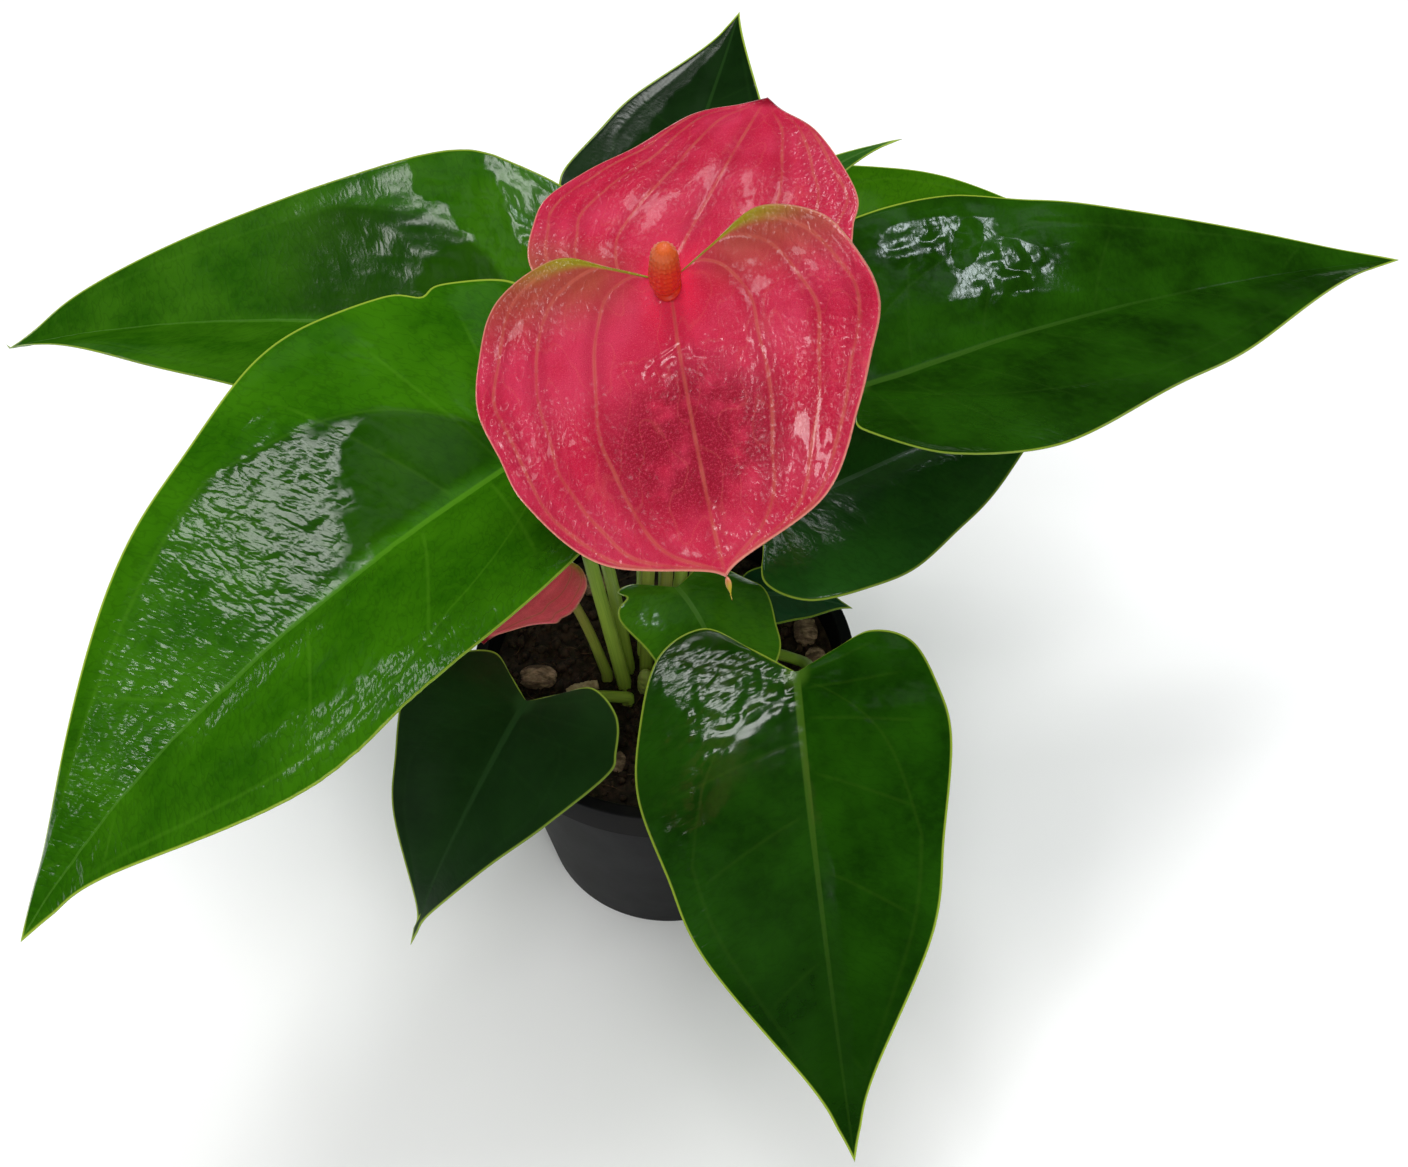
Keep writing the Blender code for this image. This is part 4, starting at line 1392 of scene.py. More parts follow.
    def build(self) -> bpy.types.Mesh:
        """Make the mesh.

        Returns:
            The closed mesh, which keeps the grid's measures at each point.
        """
        grid = self.lay_out()
        normal = self.normals(grid)
        height, under = self.relief(grid)
        half = self.thickness / 2 * (0.35 + 0.65 * ease(grid.edge, 0.0, 0.9))
        top = grid.places + normal * (height + half)[:, None]
        bottom = grid.places + normal * (height - half - under)[:, None]
        share = grid.along / self.surface.length
        flat = np.stack([grid.across, grid.along, grid.edge], -1)
        vein = np.stack([grid.row, grid.reach, grid.spread], -1)
        sides = [np.stack([share, grid.column, np.full(len(share), side)], -1) for side in (0.0, 1.0)]
        kept = {"flat": np.vstack([flat, flat]), "vein": np.vstack([vein, vein]), "share": np.vstack(sides)}
        return make_mesh(np.vstack([top, bottom]), self.faces(), kept, merge=0.004)


def tube_mesh(line: np.ndarray, radii: np.ndarray, sides: int,
              swell: np.ndarray | None = None) -> bpy.types.Mesh:
    """Make a closed round tube.

    Args:
        line: The points of its middle line.
        radii: Its radius at each point.
        sides: How many sides it has.
        swell: How far each point of the skin stands out, one row a ring.

    Returns:
        The mesh, which keeps its share of the length, its turn and its swell at each point.
    """
    ahead = unit(np.gradient(line, axis=0))
    side = unit(np.cross(ahead, np.array(TUBE_SIDE)))
    other = np.cross(ahead, side)
    turn = np.linspace(0, 2 * math.pi, sides, endpoint=False)
    bulge = np.zeros((len(line), sides)) if swell is None else swell
    spoke = side[:, None] * np.cos(turn)[:, None] + other[:, None] * np.sin(turn)[:, None]
    skin = line[:, None] + spoke * (radii[:, None] + bulge)[..., None]
    points = np.vstack([skin.reshape(-1, 3), line[:1], line[-1:]])
    share = np.repeat(np.linspace(0, 1, len(line)), sides)
    wrapped = np.abs(np.tile(np.linspace(-1, 1, sides, endpoint=False), len(line)))
    kept = np.stack([share, wrapped, bulge.ravel() / max(bulge.max(), 1e-6)], -1)
    kept = np.vstack([kept, [(0, 0, 0), (1, 0, 0)]])
    faces = grid_faces(len(line), sides, closed=True).tolist()
    last = (len(line) - 1) * sides
    start, end = len(points) - 2, len(points) - 1
    for index in range(sides):
        following = (index + 1) % sides
        faces.append((start, following, index))
        faces.append((end, last + index, last + following))
    return make_mesh(points, faces, {"share": kept})


@dataclass
class StalkPiece:
    """A stalk's fine mesh: upright in the mix, along its route, and swollen just under the blade."""

    stalk: Stalk
    blade: Blade
    rings: int = 72
    sides: int = 18
    joint_swell: float = 0.30
    joint_down: float = 7.0
    joint_width: float = 4.5

    def build(self) -> bpy.types.Mesh:
        """Make the mesh.

        Returns:
            The closed tube.
        """
        seat, normal = Surface(self.blade).seat()
        top = seat - normal * (self.blade.thickness / 2 + TOUCH_GAP)
        x, y = self.stalk.foot
        below = np.array([(x, y, MIX_TOP - HOLE_DEPTH + TOUCH_GAP), (x, y, MIX_TOP)])
        start, end = (x, y, MIX_TOP + STALK_UPRIGHT), top - normal * SEAT_RISE
        route = np.array([start, *self.stalk.route, end], float)
        tip = np.array([top - normal * SEAT_RISE * 0.4, top + normal * TOUCH_GAP])
        bend = catmull_rom(route, np.linspace(0, 1, self.rings - len(below) - len(tip)))
        line = np.vstack([below, bend, tip])
        reach = lengths(line)
        share = reach / reach[-1]
        radii = self.stalk.top_radius + (self.stalk.foot_radius - self.stalk.top_radius) * (1 - share) ** 2
        radii *= 1 + self.joint_swell * bell(reach[-1] - reach - self.joint_down, self.joint_width)
        return tube_mesh(line, radii, self.sides)


@dataclass
class SpadixPiece:
    """A spadix's fine mesh: a round-ended rod on a neck, beaded with florets in crossing spirals.

    sink is how deep its foot is in the spathe, collar how far a ring at its foot stands out, neck how much
    of the radius the neck has, and taper how much of it is gone at the tip.
    """

    spadix: Spadix
    blade: Blade
    rings: int = 96
    sides: int = 72
    spirals: int = 8
    bead: float = 0.22
    sink: float = 0.2
    collar: float = 0.30
    neck: float = 0.76
    taper: float = 0.20

    def build(self) -> bpy.types.Mesh:
        """Make the mesh.

        Returns:
            The closed tube.
        """
        seat, normal = Surface(self.blade).seat()
        lean = unit(np.array(self.spadix.lean))
        foot = seat + normal * (self.blade.thickness / 2 - self.sink)
        neck = seat + normal * (self.blade.thickness / 2 + SPADIX_GAP + SPADIX_NECK)
        body = self.spadix.length - SPADIX_NECK
        route = np.vstack([foot, neck, neck + lean * body / 2, neck + lean * body])
        line = catmull_rom(route, np.linspace(0, 1, self.rings))
        reach = lengths(line)
        radius = self.spadix.radius
        ahead = np.maximum(reach[-1] - reach, 0)
        cap = np.sqrt(np.clip(1 - (1 - np.minimum(ahead / (radius * 1.15), 1)) ** 2, 0, 1))
        collar = self.collar * bell(reach - 0.8, 0.7)
        taper = 1 - self.taper * ease(reach, 0.35 * reach[-1], reach[-1])
        radii = radius * (self.neck + collar + (1 - self.neck) * ease(reach, 1.2, 4.0)) * cap * taper
        turn = np.linspace(0, 2 * math.pi, self.sides, endpoint=False)
        climb = reach[:, None] / radius
        lattice = np.cos(self.spirals * (turn + 0.75 * climb)) * np.cos(self.spirals * (turn - 0.75 * climb))
        grown = ease(reach, 2.5, 5.0)[:, None] * np.minimum(cap * 1.5, 1)[:, None]
        return tube_mesh(line, radii, self.sides, self.bead * np.maximum(lattice, 0) * grown)


def wall_radius(height: float) -> float:
    """Give the pot body's outer radius at a height."""
    body_top = POT_RIM_RADIUS - POT_LIP_STEP
    return POT_FOOT_RADIUS + (body_top - POT_FOOT_RADIUS) * height / POT_HEIGHT


def inner_radius(height: float) -> float:
    """Give the pot body's inner radius at a height."""
    return wall_radius(height) - POT_WALL


def mix_relief(x: float, y: float) -> float:
    """Give the height of the lumpy mix above its mean level, which fades out at the pot wall.

    Args:
        x: How far right of the pot's middle.
        y: How far back of it.

    Returns:
        The height in millimetres, the same as in the solid.
    """
    edge = math.hypot(x, y) / wall_radius(MIX_TOP)
    lumps = noise.fractal(Vector((x, y, 0)) / MIX_LUMP_SIZE, 0.7, 2.0, 3)
    return MIX_RELIEF * max(-1.0, min(1.0, lumps)) * max(0.0, 1.0 - edge**6)


@dataclass
class PotPiece:
    """The pot: a thin turned wall with a turned-down lip, rounded edges and drainage holes."""

    sides: int = 144
    finish: PotFinish = PotFinish()

    def profile(self) -> list[tuple[float, float]]:
        """List the profile's points, from the floor's middle up, over the rim and down to the foot.

        Returns:
            The radius and the height of each.
        """
        rim, lip_foot = POT_RIM_RADIUS, POT_HEIGHT - POT_LIP_DEPTH
        lip_inside, under_lip = rim - POT_WALL, POT_HEIGHT - POT_WALL
        mouth = inner_radius(POT_HEIGHT)
        soft, bevel, bend = POT_EDGE_ROUND, POT_LIP_BEVEL, POT_FLOOR_BEND
        quarter = [(math.sin(a), math.cos(a)) for a in np.radians((15, 30, 45, 60, 75))]
        points = [(0, POT_WALL), (inner_radius(POT_WALL) - bend, POT_WALL),
                  (inner_radius(POT_WALL), POT_WALL + bend), (mouth, POT_HEIGHT - soft)]
        points += [(mouth + soft - soft * c, POT_HEIGHT - soft + soft * s) for s, c in quarter]
        points += [(mouth + soft, POT_HEIGHT), (rim - soft, POT_HEIGHT)]
        points += [(rim - soft + soft * s, POT_HEIGHT - soft + soft * c) for s, c in quarter]
        points += [(rim, POT_HEIGHT - soft), (rim, lip_foot + bevel), (rim - bevel, lip_foot),
                   (lip_inside + bevel, lip_foot), (lip_inside, lip_foot + bevel), (lip_inside, under_lip),
                   (wall_radius(under_lip), under_lip), (wall_radius(soft), soft)]
        points += [(wall_radius(0) - soft + soft * c, soft - soft * s) for s, c in quarter]
        return points + [(wall_radius(0) - soft, 0), (0, 0)]

    def build(self) -> bpy.types.Mesh:
        """Turn the profile and cut the drainage holes.

        Returns:
            The mesh, in metres.
        """
        shape = bmesh.new()
        ring = [shape.verts.new((radius * MM, 0.0, height * MM)) for radius, height in self.profile()]
        edges = [shape.edges.new(pair) for pair in zip(ring, ring[1:])]
        bmesh.ops.spin(shape, geom=ring + edges, axis=(0, 0, 1), cent=(0, 0, 0), steps=self.sides,
                       angle=2 * math.pi, use_merge=True)
        bmesh.ops.remove_doubles(shape, verts=shape.verts, dist=0.01 * MM)
        bmesh.ops.recalc_face_normals(shape, faces=shape.faces)
        body = bpy.data.objects.new("pot_turned", settle(shape, "pot_turned"))
        cutter = bpy.data.objects.new("pot_drill", self.drill())
        for item in (body, cutter):
            bpy.context.scene.collection.objects.link(item)
        hole = body.modifiers.new("drains", "BOOLEAN")
        hole.operation = "DIFFERENCE"
        hole.solver = "EXACT"
        hole.object = cutter
        bpy.context.view_layer.update()
        cut = bpy.data.meshes.new_from_object(body.evaluated_get(bpy.context.evaluated_depsgraph_get()))
        for item in (body, cutter):
            bpy.data.objects.remove(item)
        pot = in_order(cut)
        pot.set_sharp_from_angle(angle=math.radians(40))
        return pot

    @staticmethod
    def drill() -> bpy.types.Mesh:
        """Make the cutters of the drainage holes.

        Returns:
            The mesh, in metres.
        """
        shape = bmesh.new()
        for index in range(POT_DRAINS):
            angle = 2 * math.pi * (index + 0.5) / POT_DRAINS
            made = bmesh.ops.create_cone(shape, cap_ends=True, segments=32, radius1=POT_DRAIN_RADIUS * MM,
                                         radius2=POT_DRAIN_RADIUS * MM, depth=3 * POT_WALL * MM)
            spot = (POT_DRAIN_RING * MM * math.cos(angle), POT_DRAIN_RING * MM * math.sin(angle),
                    POT_WALL / 2 * MM)
            bmesh.ops.translate(shape, verts=made["verts"], vec=spot)
        return settle(shape, "drill")


@dataclass
class MixPiece:
    """The potting mix: a lumpy top of fine crumbs on a plain body that fills the pot."""

    rings: int = 96
    sides: int = 250
    seed: int = 5
    crumb_level: float = 0.45

    def build(self) -> bpy.types.Mesh:
        """Make the mesh.

        Returns:
            The closed mesh.
        """
        floor = POT_WALL + TOUCH_GAP
        edge = inner_radius(MIX_TOP) - MIX_WALL_GAP
        turn = np.linspace(0, 2 * math.pi, self.sides, endpoint=False)
        radius = edge * np.linspace(0.004, 1, self.rings)
        x = radius[:, None] * np.cos(turn)
        y = radius[:, None] * np.sin(turn)
        broad = np.array([mix_relief(a, b) for a, b in zip(x.ravel(), y.ravel())]).reshape(x.shape)
        lumps, fine = Lumps(self.seed), Lumps(self.seed + 1)
        crumbs = 0.8 * np.abs(lumps.at(x, y, 3.1)) + 0.5 * np.abs(fine.at(x, y, 1.4))
        crumbs = (crumbs + 0.2 * lumps.at(x, y, 0.7) - self.crumb_level) * ease(edge - radius, 0, 2)[:, None]
        top = np.stack([x, y, MIX_TOP + broad + crumbs], -1)
        foot = inner_radius(floor) - MIX_WALL_GAP
        walls = [np.stack([r * np.cos(turn), r * np.sin(turn), np.full(self.sides, z)], -1)
                 for r, z in ((edge, MIX_TOP - MIX_RELIEF), (foot, floor), (foot * 0.01, floor))]
        points = np.vstack([top.reshape(-1, 3), *walls])
        faces = grid_faces(self.rings + 3, self.sides, closed=True).tolist()
        faces.append(list(range(self.sides))[::-1])
        faces.append(list(range(len(points) - self.sides, len(points))))
        return make_mesh(points, faces)


@dataclass
class CrumbPiece:
    """Loose clods and fibres that lie on the mix, each kind joined in one mesh."""

    clods: int = 1500
    fibres: int = 260
    seed: int = 11
    smallest: float = 0.5
    largest: float = 2.6
    fibre_radius: float = 0.14
    clod_wall_gap: float = 3.5
    fibre_wall_gap: float = 2.0

    def spots(self, draw: np.random.Generator, count: int) -> np.ndarray:
        """Draw places on the mix, clear of the pot wall.

        Args:
            draw: The seeded generator.
            count: How many places.

        Returns:
            One place a row, seen from above.
        """
        edge = inner_radius(MIX_TOP) - self.clod_wall_gap
        radius = edge * np.sqrt(draw.uniform(0, 1, count))
        turn = draw.uniform(0, 2 * math.pi, count)
        return np.stack([radius * np.cos(turn), radius * np.sin(turn)], -1)

    def build_clods(self) -> bpy.types.Mesh:
        """Make the clods: rough balls sunk a little into the mix.

        Returns:
            One mesh of all of them.
        """
        draw = np.random.default_rng(self.seed)
        shape = bmesh.new()
        bmesh.ops.create_icosphere(shape, subdivisions=1, radius=1.0)
        shape.verts.ensure_lookup_table()
        ball = np.array([vertex.co for vertex in shape.verts])
        corners = np.array([[vertex.index for vertex in face.verts] for face in shape.faces])
        shape.free()
        points, faces = [], []
        for number, (x, y) in enumerate(self.spots(draw, self.clods)):
            size = self.smallest + (self.largest - self.smallest) * draw.uniform() ** 3
            rough = ball * (1 + draw.uniform(-0.28, 0.28, (len(ball), 1)))
            rough = rough * size * draw.uniform(0.6, 1.0, 3)
            height = MIX_TOP + mix_relief(x, y) + size * 0.30
            points.append(rough + np.array([x, y, height]))
            faces.append(corners + number * len(ball))
        return make_mesh(np.vstack(points), np.vstack(faces).tolist())

    def build_fibres(self) -> bpy.types.Mesh:
        """Make the fibres: thin bent threads that lie on the mix.

        Returns:
            One mesh of all of them.
        """
        draw = np.random.default_rng(self.seed + 1)
        points, faces = [], []
        sides, rings = 5, 7
        turn = np.linspace(0, 2 * math.pi, sides, endpoint=False)
        strip = grid_faces(rings, sides, closed=True)
        for number, (x, y) in enumerate(self.spots(draw, self.fibres)):
            heading = draw.uniform(0, 2 * math.pi)
            length, bend = draw.uniform(3, 11), draw.uniform(-1.2, 1.2)
            share = np.linspace(-0.5, 0.5, rings)
            angle = heading + bend * share
            flat = np.stack([x + length * share * np.cos(angle), y + length * share * np.sin(angle)], -1)
            limit = inner_radius(MIX_TOP) - self.fibre_wall_gap
            flat = flat * np.minimum(limit / np.maximum(np.hypot(*flat.T), 1e-6), 1)[:, None]
            height = np.array([MIX_TOP + mix_relief(a, b) for a, b in flat]) + 0.45 + draw.uniform(0, 0.7)
            line = np.column_stack([flat, height])
            side = np.array([-math.sin(heading), math.cos(heading), 0.0])
            spoke = side * np.cos(turn)[:, None] + np.array([0, 0, 1.0]) * np.sin(turn)[:, None]
            radii = self.fibre_radius * (1 - np.abs(share * 1.6) ** 3)
            skin = line[:, None] + spoke[None] * radii[:, None, None]
            points.append(skin.reshape(-1, 3))
            faces.append(strip + number * sides * rings)
        return make_mesh(np.vstack(points), np.vstack(faces).tolist())


@dataclass(frozen=True)
class ChipPiece:
    """A bark chip's fine mesh: a rough block in the place of its solid, with layered, broken sides.

    boxy is lower for a squarer block, fill how much of the solid's box it fills, and most how much its
    lumps may add to that.
    """

    node: str
    seed: int
    layers: float = 3.0
    rough: float = 0.24
    boxy: float = 0.86
    fill: float = 0.92
    most: float = 1.08

    def build(self) -> bpy.types.Mesh:
        """Make the mesh inside the solid's own box.

        Returns:
            The mesh, in metres.
        """
        low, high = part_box(self.node)
        middle = (low + high) / 2 / MM
        half = (high - low) / 2 / MM
        drift = Vector((self.seed * 3.7, 0, 0))
        shape = bmesh.new()
        bmesh.ops.create_icosphere(shape, subdivisions=5, radius=1.0)
        for vertex in shape.verts:
            place = vertex.co.copy()
            squared = Vector([math.copysign(abs(axis) ** self.boxy, axis) for axis in place])
            lumps = noise.fractal(place * 2.2 + drift, 0.8, 2.0, 4)
            strata = noise.noise(Vector((place.x * 1.5, place.y * 1.5, place.z * self.layers * 3)) + drift)
            size = min(1.0 + self.rough * lumps + 0.5 * self.rough * strata, self.most)
            spot = Vector((squared.x * half.x, squared.y * half.y, squared.z * half.z)) * size * self.fill
            vertex.co = (spot + middle) * MM
        mesh = settle(shape, self.node)
        mesh.shade_smooth()
        return mesh


@dataclass(frozen=True)
class Leaf:
    """A leaf: its name, its blade, its stalk, its finish, its slot, and its relief as in BladePiece."""

    name: str
    blade: Blade
    stalk: Stalk
    finish: LeafFinish
    slot: str
    rows: int
    columns: int
    quilt: float = 0.07
    pucker: float = 0.07
    sway: float = 0.4
    creases: tuple[Crease, ...] = ()
    patches: tuple[Patch, ...] = ()
    swell: tuple[float, float] = (0.0, 0.0)

    def make(self, seed: int, stalk_finish: bpy.types.Material) -> None:
        """Make the blade and the stalk, and put them in the place of their solids.

        Args:
            seed: The seed of the blade's lumps.
            stalk_finish: The stalk's material.
        """
        name = self.name
        sheet = BladePiece(self.blade, self.rows, self.columns, seed, vein_count=self.finish.veins,
                           creases=self.creases, patches=self.patches, spots=self.finish.spots,
                           swell=self.swell, quilt=self.quilt, pucker=self.pucker, sway=self.sway)
        green = self.finish.dress(f"{name}_green")
        add_piece(f"{name}_sheet", sheet.build(), green, self.slot, f"{name}_blade")
        stem = StalkPiece(self.stalk, self.blade)
        add_piece(f"{name}_stem", stem.build(), stalk_finish, "stalk_green", f"{name}_stalk")


@dataclass(frozen=True)
class Bloom:
    """A bloom: its name, its spathe, its stalk, its spadix, its finish, and its relief as in BladePiece."""

    name: str
    blade: Blade
    stalk: Stalk
    spadix: Spadix
    finish: SpatheFinish
    rows: int
    columns: int
    pucker: float = 0.11
    sway: float = 0.4
    patches: tuple[Patch, ...] = ()

    def make(self, seed: int, stalk_finish: bpy.types.Material, spike_finish: bpy.types.Material) -> None:
        """Make the spathe, the stalk and the spadix, and put them in the place of their solids.

        Args:
            seed: The seed of the spathe's lumps.
            stalk_finish: The stalk's material.
            spike_finish: The spadix's material.
        """
        name = self.name
        sheet = BladePiece(self.blade, self.rows, self.columns, seed, Veins.ARCHED, arches=self.finish.arches,
                           patches=self.patches, thickness=0.7, pucker=self.pucker, sway=self.sway)
        add_piece(f"{name}_spathe", sheet.build(), self.finish.dress(), "spathe_pink", f"spathe_{name}")
        stem = StalkPiece(self.stalk, self.blade, joint_swell=0.12)
        add_piece(f"{name}_bloom_stem", stem.build(), stalk_finish, "stalk_green", f"bloom_stalk_{name}")
        spike = SpadixPiece(self.spadix, self.blade)
        add_piece(f"{name}_spike", spike.build(), spike_finish, "spadix_orange", f"spadix_{name}")


LEAVES = (
    Leaf("leaf_1",
         Blade((-28, -18, 206), (-104, -88, 208), (-146, -131, 157),
               Half(60, 16, 0.26, 0.74, 4), Half(64, 24, 0.24, 0.62, 3),
               roll=(-8, 4), fold=(22, 6), lobe_out=0.6, lift=0.2, wave=(1.2, 3.5, 0.1),
               dents=(Dent(-1, 0.335, 0.05, 0.012),)),
         Stalk((-13, -6), ((-18, -6, 128), (-23, -9, 170)), 2.4, 1.9),
         LeafFinish((0.014, 0.080, 0.001), (0.031, 0.134, 0.002), (0.062, 0.195, 0.008),
                    painted_shadow=0.55, vein=0.26, crackle=9.0, coat=0.0,
                    spots=(Spot(0.25, -0.75, 0.30, 0.50), Spot(0.33, 0.0, 0.31, 0.60),
                           Spot(0.40, 0.40, 0.36, 0.36), Spot(0.48, -1.0, 0.30, 0.16),
                           Spot(0.48, -0.24, 0.11, 0.28))),
         "leaf_bright", rows=250, columns=150, pucker=0.36, sway=0.25,
         patches=(Patch(0.61, -0.55, 0.09, 0.30, 3.4, 0.24), Patch(0.64, 0.93, 0.10, 0.12, 5.0, 0.4)),
         swell=(0.0, 1.8)),
    Leaf("leaf_2",
         Blade((-35, 42, 190), (-124, 48, 199), (-200, 62, 168),
               Half(56, 15, 0.20, 0.70, -1), Half(60, 15, 0.20, 0.58, 9),
               roll=(2, -6), fold=(9, 30), taper=0.25, wave=(1.0, 2.5, 0.4)),
         Stalk((-12, 0.5), ((-16, 6, 125), (-25, 23, 160)), 2.3, 1.8),
         LeafFinish((0.012, 0.070, 0.001), (0.030, 0.118, 0.003), (0.050, 0.155, 0.010),
                    rough=0.18, painted_shadow=0.6, crackle=4.0, coat=0.0,
                    spots=(Spot(0.75, 0.50, 0.35, 0.50), Spot(0.40, -0.26, 0.16, 0.28),
                           Spot(0.50, -0.92, 0.045, 0.20), Spot(0.465, -0.72, 0.045, 0.20),
                           Spot(0.43, -0.52, 0.045, 0.20), Spot(0.14, -0.60, 0.12, 0.60))),
         "leaf_green", rows=170, columns=110, pucker=0.24,
         creases=(Crease(-1, 0.20, -0.8, 7.0, 0.30), Crease(-1, 0.48, -0.8, 7.0, 0.15)),
         patches=(Patch(0.44, -0.65, 0.16, 0.38, 5.5, 0.75),)),
    Leaf("leaf_3",
         Blade((-1, 93, 185), (12, 138, 196), (24, 174, 215),
               Half(37, 11, 0.20, 0.64, -2), Half(34, 11, 0.20, 0.58), roll=(-1, 2), fold=(9, 2)),
         Stalk((-7, 5.5), ((-7, 24, 118), (-5, 60, 158)), 2.2, 1.5),
         LeafFinish((0.003, 0.012, 0.002), (0.006, 0.022, 0.004), (0.016, 0.052, 0.008),
                    rough=0.22, coat=0.0, spots=(Spot(0.55, -0.20, 0.50, 0.85),)),
         "leaf_dark", rows=110, columns=80),
    Leaf("leaf_4",
         Blade((22, 76, 198), (49, 88, 219), (70, 92, 222), Half(9, 7), Half(10, 7),
               roll=(3, 5), wave=(0.4, 2, 0)),
         Stalk((-1, 7.5), ((1, 36, 125), (12, 62, 165)), 2.0, 1.3),
         LeafFinish((0.012, 0.060, 0.006), (0.030, 0.110, 0.012), (0.060, 0.16, 0.020)),
         "leaf_green", rows=70, columns=36, sway=0.3),
    Leaf("leaf_5",
         Blade((33, 88, 180), (93, 105, 186), (148, 111, 165),
               Half(40, 12, curl=-4), Half(40, 12), taper=0.26),
         Stalk((5, 5), ((12, 30, 118), (24, 64, 152)), 2.2, 1.6),
         LeafFinish((0.020, 0.088, 0.001), (0.034, 0.122, 0.002), (0.062, 0.17, 0.008),
                    coat=0.0, spots=(Spot(0.5, 0.0, 0.9, 1.5),)),
         "leaf_bright", rows=110, columns=70),
    Leaf("leaf_6",
         Blade((51, 0, 208), (139, 59, 195), (227, 87, 182),
               Half(53, 14, 0.33, 0.60), Half(52, 13, 0.20, 0.65, -8),
               roll=(3, -2), fold=(16, 16), lobe_out=0.4, taper=0.22, wave=(1.2, 3.5, 0.6)),
         Stalk((0, 1.8), ((5, 12, 118), (8, 15, 152), (28, 9, 188)), 2.3, 1.8),
         LeafFinish((0.005, 0.026, 0.001), (0.013, 0.064, 0.002), (0.030, 0.085, 0.008),
                    rib_fade=0.85, coat=0.0,
                    spots=(Spot(0.60, 1.0, 0.30, 0.15), Spot(0.50, 0.0, 0.26, 0.34),
                           Spot(0.86, 0.60, 0.21, 0.60), Spot(0.43, 0.42, 0.11, 0.26),
                           Spot(0.65, 0.88, 0.09, 0.22), Spot(0.37, 0.85, 0.07, 0.35),
                           Spot(0.54, 0.68, 0.018, 0.18))),
         "leaf_green", rows=180, columns=110, pucker=0.06,
         patches=(Patch(0.495, 0.75, 0.045, 0.18, 6.0, 1.1, 0.10),
                  Patch(0.60, 0.47, 0.040, 0.20, 6.0, 1.6, 0.15))),
    Leaf("leaf_7",
         Blade((30, 8, 150), (79, 36, 155), (129, 62, 150),
               Half(30, 9, 0.20, 0.68), Half(40, 13, 0.23, 0.63, -6), roll=(-2, -2), fold=(7, 3)),
         Stalk((6.5, -1), ((12, 12, 104), (21, 22, 128)), 2.2, 1.6),
         LeafFinish((0.007, 0.044, 0.005), (0.014, 0.075, 0.007), (0.022, 0.085, 0.010)),
         "leaf_dark", rows=120, columns=84),
    Leaf("leaf_8",
         Blade((-39, -36, 120), (-59, -75, 112), (-72, -91, 77),
               Half(36, 10, 0.15, 0.40), Half(34, 10, 0.20, 0.60),
               roll=(-6, -6), lobe_out=0.5, taper=0.08, wave=(0.5, 3, 0.3)),
         Stalk((-11.5, -12.5), ((-24, -19, 99), (-35, -29, 107)), 2.1, 1.4),
         LeafFinish((0.003, 0.020, 0.002), (0.007, 0.036, 0.004), (0.015, 0.055, 0.010),
                    rough=0.45, coat=0.0),
         "leaf_dark", rows=110, columns=84, pucker=0.06),
    Leaf("leaf_9",
         Blade((38, -39, 138), (41, -97, 128), (51, -156, 85),
               Half(40, 9, 0.20, 0.70, 1), Half(46, 15, 0.25, 0.70, -5),
               roll=(-7, -4), fold=(8, 5), lift=0.07, wave=(0.6, 4, 0.2)),
         Stalk((6, -7.5), ((24, 0, 97), (42, -6, 100), (44, -24, 117)), 2.2, 1.6),
         LeafFinish((0.005, 0.031, 0.001), (0.013, 0.070, 0.002), (0.052, 0.125, 0.010),
                    rib_fade=0.75, tip_shade=0.6, crackle=6.0,
                    spots=(Spot(0.42, 0.60, 0.40, 0.62), Spot(0.85, -0.15, 0.46, 0.66, matt=0.0),
                           Spot(0.10, -0.85, 0.16, 0.45, matt=0.5))),
         "leaf_green", rows=170, columns=110, pucker=0.38,
         creases=(Crease(-1, 0.27, 0.4, 6.0, 0.42), Crease(1, 0.36, -0.3, 5.0, 0.29)),
         patches=(Patch(0.40, -0.62, 0.10, 0.30, 3.6, 0.35),), swell=(0.3, 0.6)),
    Leaf("leaf_10",
         Blade((4, 1, 127), (17, -18, 128), (22, -44, 114),
               Half(26, 6, 0.20, 0.76, -5), Half(25, 5, 0.18, 0.70, -2),
               roll=(20, 6), fold=(3, 4), taper=0.23, wave=(0.8, 3, 0.5),
               dents=(Dent(-1, 0.36, 0.16, 0.03),)),
         Stalk((0, -10.5), ((1, -5, 106),), 2.1, 1.5),
         LeafFinish((0.020, 0.100, 0.002), (0.044, 0.165, 0.004), (0.060, 0.18, 0.010), coat=0.0),
         "leaf_bright", rows=90, columns=70),
    Leaf("leaf_11",
         Blade((28, 12, 110), (44, 12, 112), (59, 10, 106), Half(11, 4), Half(13, 4), wave=(0.3, 2, 0)),
         Stalk((10.8, 4), ((18, 8, 94), (25, 11, 102)), 1.8, 1.2),
         LeafFinish((0.005, 0.040, 0.014), (0.010, 0.060, 0.020), (0.020, 0.080, 0.030)),
         "leaf_dark", rows=60, columns=40, sway=0.3),
)

